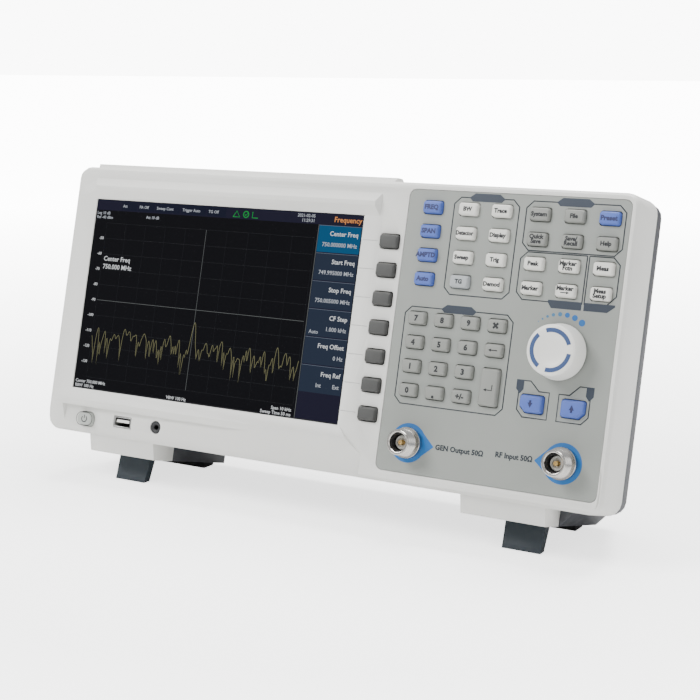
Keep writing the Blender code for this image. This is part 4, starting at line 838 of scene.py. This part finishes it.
# ---------------------------------------------------------------- tuning knob
# A turned knob in satin white with a dished face. Three blue arcs are inlaid round the face, and the skirt
# is a little wider than the face.
def spun(profile, x, z, sides, material, smooth=35):
    """A turned piece: the profile's points (radius, y) are swept round a front to back axis through x, z."""
    data = bpy.data.curves.new("profile", "CURVE")
    data.dimensions = "3D"
    line = data.splines.new("POLY")
    line.points.add(len(profile) - 1)
    for point, (radius, y) in zip(line.points, profile):
        point.co = (x + radius, y, z, 1.0)
    made = bpy.data.objects.new("turned", data)
    bpy.context.scene.collection.objects.link(made)
    choose(made)
    bpy.ops.object.convert(target="MESH")
    made = bpy.context.view_layer.objects.active
    bpy.ops.object.mode_set(mode="EDIT")
    bpy.ops.mesh.select_all(action="SELECT")
    bpy.ops.mesh.spin(steps=sides, angle=2 * math.pi, center=(x, 0.0, z), axis=(0.0, 1.0, 0.0))
    bpy.ops.mesh.select_all(action="SELECT")
    bpy.ops.mesh.remove_doubles(threshold=0.00001)
    bpy.ops.mesh.normals_make_consistent(inside=False)
    bpy.ops.object.mode_set(mode="OBJECT")
    bpy.ops.object.shade_smooth_by_angle(angle=math.radians(smooth))
    made.data.materials.clear()
    made.data.materials.append(material)
    return made


def assembled(node, items, material):
    """Joins pieces made in the upright layout, leans them back and puts them in a CAD node's place."""
    leaned_back(items)
    stand_for(joined(items), node, material)


knob_white = finish("knob_satin_white", (0.72, 0.715, 0.68), 0.36, grain=3600.0, relief=0.12, tone=0.02,
                    dust=0.05)
knob_blue = finish("knob_arc_blue", (0.030, 0.062, 0.170), 0.42, grain=3600.0, relief=0.15, tone=0.08,
                   dust=0.05, wear=0.0)
KNOB_FACE, KNOB_FOOT = 0.0152, 0.0168
knob_top, knob_foot = knob_low.y, knob_high.y
knob_profile = [(0.0, knob_top + 0.0011), (0.0060, knob_top + 0.0009), (0.0086, knob_top + 0.0003),
                (0.0096, knob_top), (0.0136, knob_top), (KNOB_FACE - 0.0004, knob_top + 0.0004),
                (KNOB_FACE, knob_top + 0.0012), (KNOB_FACE + 0.0003, knob_top + 0.0035),
                (KNOB_FOOT - 0.0003, knob_foot - 0.0012),
                (KNOB_FOOT, knob_foot - 0.0006), (KNOB_FOOT, knob_foot), (KNOB_FOOT - 0.0020, knob_foot),
                (KNOB_FACE - 0.0020, knob_top + 0.0030), (0.0058, knob_top + 0.0030), (0.0058, knob_foot),
                (0.0032, knob_foot), (0.0032, knob_top + 0.0040), (0.0, knob_top + 0.0040)]


def ring_arc(x, z, inner, outer, start, end, steps=24):
    """Outline of a flat band that follows part of a circle, with its ends given in degrees."""
    turns = [math.radians(start + (end - start) * i / steps) for i in range(steps + 1)]
    edge = [(x + outer * math.cos(turn), z + outer * math.sin(turn)) for turn in turns]
    return edge + [(x + inner * math.cos(turn), z + inner * math.sin(turn)) for turn in reversed(turns)]


arcs = [printed_patch([ring_arc(knob_x, knob_z, 0.0104, 0.0130, *span)], knob_top - 0.00003, knob_blue)
        for span in ((20, 110), (135, 237), (261, 354))]
turned_knob = spun(knob_profile, knob_x, knob_z, 96, knob_white, 50)
assembled("tuning_knob", [turned_knob] + arcs, knob_white)

# ---------------------------------------------------------------- radio connectors
# Type N sockets turned in nickel-plated brass: a collar, a threaded barrel, a bore lined with a black sleeve
# that is painted shade, its white insulator, and a gold-plated centre contact.
nickel = finish("nickel_plate", (0.52, 0.50, 0.47), 0.22, metallic=1.0, grain=900.0, relief=0.10, tone=0.10,
                dust=0.04, wear=0.2)
# A matt black that paints the shade inside each connector's bore.
bore_painted_shade = finish("bore_painted_shade", (0.012, 0.012, 0.013), 0.5, grain=2000.0, relief=0.2, tone=0.2,
                    dust=0.05, wear=0.0)
insulator_white = finish("insulator_ptfe", (0.62, 0.60, 0.55), 0.5, grain=2000.0, relief=0.1, tone=0.04,
                         dust=0.04, wear=0.0)
gold = finish("contact_gold", (0.70, 0.47, 0.18), 0.28, metallic=1.0, grain=1200.0, relief=0.1, tone=0.08,
              dust=0.02, wear=0.0)
THREAD_PITCH = 0.00106
for node in ("gen_connector", "rf_connector"):
    low, high = seat(node)
    x, z, tip, back = (low.x + high.x) / 2, (low.z + high.z) / 2, low.y, high.y
    collar = (high.x - low.x) / 2
    crest = collar - 0.0017
    root, bore = crest - 0.0006, crest - 0.0022
    barrel = [(bore, tip + 0.0100), (bore, tip + 0.0006), (bore + 0.0004, tip + 0.0001), (bore + 0.0007, tip),
              (root - 0.0003, tip), (root, tip + 0.0004)]
    y = tip + 0.0009
    while y + THREAD_PITCH < -0.0044:
        barrel += [(root, y), (crest, y + THREAD_PITCH * 0.42), (crest, y + THREAD_PITCH * 0.55)]
        y += THREAD_PITCH
    barrel += [(root, y), (root, -0.0036), (crest, -0.0034), (collar - 0.0003, -0.0034), (collar, -0.0029),
               (collar, 0.0001), (crest, 0.0001), (crest, back - 0.0045), (0.0040, back - 0.0045),
               (0.0040, back), (0.0, back)]
    insulator = [(bore + 0.0001, tip + 0.0095), (0.0042, tip + 0.0095), (0.0042, tip + 0.0060),
                 (0.0030, tip + 0.0058), (0.0030, tip + 0.0075), (0.0, tip + 0.0075)]
    # A black sleeve lines the bore's nickel wall: painted shade inside the socket's mouth.
    shade_sleeve = [(bore - 0.00002, tip + 0.0094), (bore - 0.00002, tip + 0.0022), (bore - 0.0006, tip + 0.0020),
              (bore - 0.0006, tip + 0.0094)]
    pin = [(0.0, tip + 0.0044), (0.0006, tip + 0.0044), (0.0007, tip + 0.0040), (0.0014, tip + 0.0040),
           (0.0016, tip + 0.0043), (0.0016, tip + 0.0095)]
    pieces = [spun(barrel, x, z, 64, nickel, 30), spun(shade_sleeve, x, z, 48, bore_painted_shade),
              spun(insulator, x, z, 48, insulator_white), spun(pin, x, z, 24, gold)]
    assembled(node, pieces, nickel)

# ---------------------------------------------------------------- power key and front sockets
# The oval power key is light grey ABS with a printed oval and power sign. The USB socket is a tin-plated
# shell round a white tongue, its inner faces painted black as shade, and the headphone socket is black nylon.
sign_ink = finish("sign_grey_ink", (0.018, 0.019, 0.020), 0.5, grain=5000.0, relief=0.2, tone=0.1,
                  dust=0.03, wear=0.0)
x, z, wide, y = key_centre("power_key")
ring = [(x + 0.0022 * math.sin(math.radians(turn)), z + 0.0022 * math.cos(math.radians(turn)))
        for turn in range(38, 323, 12)]
oval = []
for side, middle in ((1, x + wide / 2 - 0.0056), (-1, x - wide / 2 + 0.0056)):
    for step in range(-90, 91, 15):
        turn = math.radians(step if side > 0 else step + 180)
        oval.append((middle + 0.0046 * math.cos(turn), z + 0.0046 * math.sin(turn)))
cap = copied("power_key", 0.0003)
power_grey = finish("power_key_grey", (0.38, 0.395, 0.37), 0.5, grain=3200.0, relief=0.2, tone=0.04,
                    dust=0.08)
cap.data.materials.append(power_grey)
cap.data.transform(upright)
signs = [printed_line(ring, 0.00070, y - LEGEND_LIFT, sign_ink),
         printed_line([(x, z + 0.0004), (x, z + 0.0028)], 0.00070, y - LEGEND_LIFT, sign_ink),
         printed_line(oval, 0.00042, y - LEGEND_LIFT, sign_ink, closed=True)]
assembled("power_key", [cap] + signs, power_grey)

tin = finish("shell_tin_plate", (0.42, 0.42, 0.41), 0.30, metallic=1.0, grain=700.0, relief=0.15, tone=0.12,
             dust=0.06, wear=0.3)
socket_black = finish("socket_black_nylon", (0.016, 0.016, 0.018), 0.46, grain=2400.0, relief=0.4,
                      tone=0.15, dust=0.10)


def shell_with_black_inside(node, wall):
    """A metal shell whose inner faces take the black nylon finish, as painted shade deep in the socket's
    mouth.
    """
    low, high = seat(node)
    shell = copied(node, 0.00018)
    shell.data.materials.append(tin)
    shell.data.materials.append(socket_black)
    for face in shell.data.polygons:
        spot = upright @ face.center
        deep = min(abs(spot.y - low.y), abs(spot.y - high.y)) > 0.0003
        inside = low.x + wall < spot.x < high.x - wall and low.z + wall < spot.z < high.z - wall
        # Faces deep inside the walls take the black: painted shade in the socket's mouth.
        if inside and deep:
            face.material_index = 1
    stand_for(shell, node, tin)


tongue_white = finish("tongue_white_nylon", (0.80, 0.79, 0.75), 0.45, grain=2400.0, relief=0.2, tone=0.04,
                      dust=0.05)
shell_with_black_inside("usb_a_socket", 0.0012)
low, high = seat("usb_a_socket")
bpy.ops.object.select_all(action="DESELECT")
bpy.ops.mesh.primitive_cube_add(size=1.0, location=((low.x + high.x) / 2, low.y + 0.0049, high.z - 0.0031),
                                scale=(0.0106, 0.0090, 0.0019))
tongue = bpy.context.object
bpy.ops.object.transform_apply(location=True, rotation=True, scale=True)
tongue.data.materials.append(tongue_white)
soften(tongue, 0.00025)
gathered("usb_tongue", [tongue], "housing")
low, high = seat("headphone_jack")
x, z, radius = (low.x + high.x) / 2, (low.z + high.z) / 2, (high.x - low.x) / 2
jack = [(0.0, low.y + 0.0127), (0.0018, low.y + 0.0127), (0.0018, low.y + 0.0008), (0.0026, low.y + 0.0003),
        (0.0030, low.y), (radius - 0.0003, low.y), (radius, low.y + 0.0003), (radius, high.y), (0.0, high.y)]
assembled("headphone_jack", [spun(jack, x, z, 48, socket_black)], socket_black)

# ---------------------------------------------------------------- legs and rear feet
# Two flip-out legs in dark slate nylon turn on moulded pins. The rear feet are black rubber, glued in place.
leg_slate = finish("leg_slate_nylon", (0.018, 0.027, 0.036), 0.50, grain=2200.0, relief=0.5, tone=0.15,
                   dust=0.05)
rubber = finish("foot_rubber", (0.014, 0.014, 0.015), 0.78, grain=1500.0, relief=0.6, tone=0.2, dust=0.10)
for node in ("left_leg", "right_leg"):
    stand_for(copied(node, 0.0005), node, leg_slate)
for node in ("left_rear_foot", "right_rear_foot"):
    stand_for(copied(node, 0.0009, 3), node, rubber)

# ---------------------------------------------------------------- handle, fan and mains inlet
# The carrying handle is slate nylon and lies folded in its pocket. A black fan blows out through a pressed
# steel guard, and beside it the mains inlet carries its rocker switch.
stand_for(copied("carry_handle", 0.0009, 3), "carry_handle", leg_slate)
guard_steel = finish("guard_steel", (0.30, 0.30, 0.30), 0.38, metallic=1.0, grain=800.0, relief=0.3,
                     tone=0.12, dust=0.12)
for node, edge, material, slot in (("fan_frame", 0.0004, socket_black, "socket_black"),
                                   ("fan_rotor", 0.0002, socket_black, "socket_black"),
                                   ("fan_guard", 0.0002, guard_steel, "guard_steel"),
                                   ("ac_inlet", 0.0004, socket_black, "socket_black"),
                                   ("mains_rocker", 0.0004, socket_black, "socket_black")):
    stand_for(copied(node, edge), node, material)
for node in ("lan_socket", "usb_b_socket"):
    shell_with_black_inside(node, 0.0013)
for node in ("reference_in_socket", "reference_out_socket", "trigger_in_socket"):
    low, high = seat(node)
    x, z, nut, tip = (low.x + high.x) / 2, (low.z + high.z) / 2, (high.x - low.x) / 2, high.y
    crest = nut - 0.0022
    profile = [(0.0, tip - 0.0045), (0.0007, tip - 0.0045), (0.0007, tip - 0.0085),
               (crest - 0.0010, tip - 0.0085), (crest - 0.0010, tip - 0.0003), (crest - 0.0007, tip),
               (crest - 0.0003, tip), (crest, tip - 0.0004), (crest, tip - 0.0070),
               (crest - 0.0004, tip - 0.0073), (crest - 0.0004, tip - 0.0088), (nut - 0.0003, tip - 0.0089),
               (nut, tip - 0.0092), (nut, tip - 0.01085), (crest, tip - 0.01085), (crest, low.y),
               (0.0, low.y)]
    lugs = []
    for side in (-1, 1):
        bpy.ops.object.select_all(action="DESELECT")
        bpy.ops.mesh.primitive_cylinder_add(vertices=16, radius=0.0010, depth=0.0012,
                                            location=(x, tip - 0.0032, z + side * (crest + 0.0002)))
        lug = bpy.context.object
        lug.data.materials.append(nickel)
        soften(lug, 0.0002)
        lugs.append(lug)
    assembled(node, [spun(profile, x, z, 48, nickel, 30)] + lugs, nickel)

# ---------------------------------------------------------------- rear screws and port names
# Six cross-head screws in black zinc hold the cover, and the port names are printed on it in white.
cover_back = seat("rear_cover")[1].y
bpy.ops.object.select_all(action="DESELECT")
bpy.ops.mesh.primitive_cylinder_add(vertices=32, radius=0.0032, depth=0.0012,
                                    rotation=(math.radians(-90), 0.0, 0.0))
head = bpy.context.object
bpy.ops.object.transform_apply(location=False, rotation=True, scale=False)
soften(head, 0.0005, 3)
for turn in (0, 90):
    bpy.ops.object.select_all(action="DESELECT")
    bpy.ops.mesh.primitive_cube_add(size=1.0, location=(0.0, 0.0008, 0.0), scale=(0.0036, 0.0016, 0.0008),
                                    rotation=(0.0, math.radians(turn), 0.0))
    slot_cutter = bpy.context.object
    choose(head)
    step = head.modifiers.new("cross_recess", "BOOLEAN")
    step.operation = "DIFFERENCE"
    step.object = slot_cutter
    bpy.ops.object.modifier_apply(modifier=step.name)
    bpy.data.objects.remove(slot_cutter)
screw_black = finish("screw_black_zinc", (0.05, 0.05, 0.055), 0.36, metallic=0.8, grain=1200.0, relief=0.2,
                     tone=0.15, dust=0.10)
head.data.materials.append(screw_black)
screws = []
for x in (-0.172, 0.0, 0.172):
    for z in (0.011, 0.157):
        screw = head.copy()
        screw.data = head.data.copy()
        bpy.context.scene.collection.objects.link(screw)
        screw.location = (x, cover_back + 0.0004, z)
        screws.append(screw)
bpy.data.objects.remove(head)
gathered("cover_screws", screws, "housing")

mark_white = finish("mark_white_ink", (0.62, 0.62, 0.60), 0.5, grain=5000.0, relief=0.2, tone=0.05,
                    dust=0.05, wear=0.0)
names = []
for node, words in (("lan_socket", "LAN"), ("usb_b_socket", "USB"), ("reference_in_socket", "REF IN"),
                    ("reference_out_socket", "REF OUT"), ("trigger_in_socket", "TRIG IN"),
                    ("ac_inlet", "~ 100-240 V")):
    low, high = seat(node)
    made = printed_words(words, (low.x + high.x) / 2, high.z + 0.0030, 0.0042, 0.0, mark_white, "CENTER",
                         0.02)
    made.rotation_euler.z = math.radians(180)
    made.location.y = cover_back + 0.00003
    names.append(made)
gathered("port_names", names, "housing")

# ---------------------------------------------------------------- inner boards and radio module
# Inside are green glass-epoxy boards, the radio module in its tinned can, and the encoder.
board_green = finish("board_green_mask", (0.012, 0.085, 0.030), 0.35, grain=220.0, relief=0.3, tone=0.30,
                     dust=0.10, speck=0.5)
for node, material in (("key_board", board_green), ("main_board", board_green), ("power_supply", board_green),
                       ("rf_module", tin), ("rotary_encoder", nickel)):
    refinished(node, material)
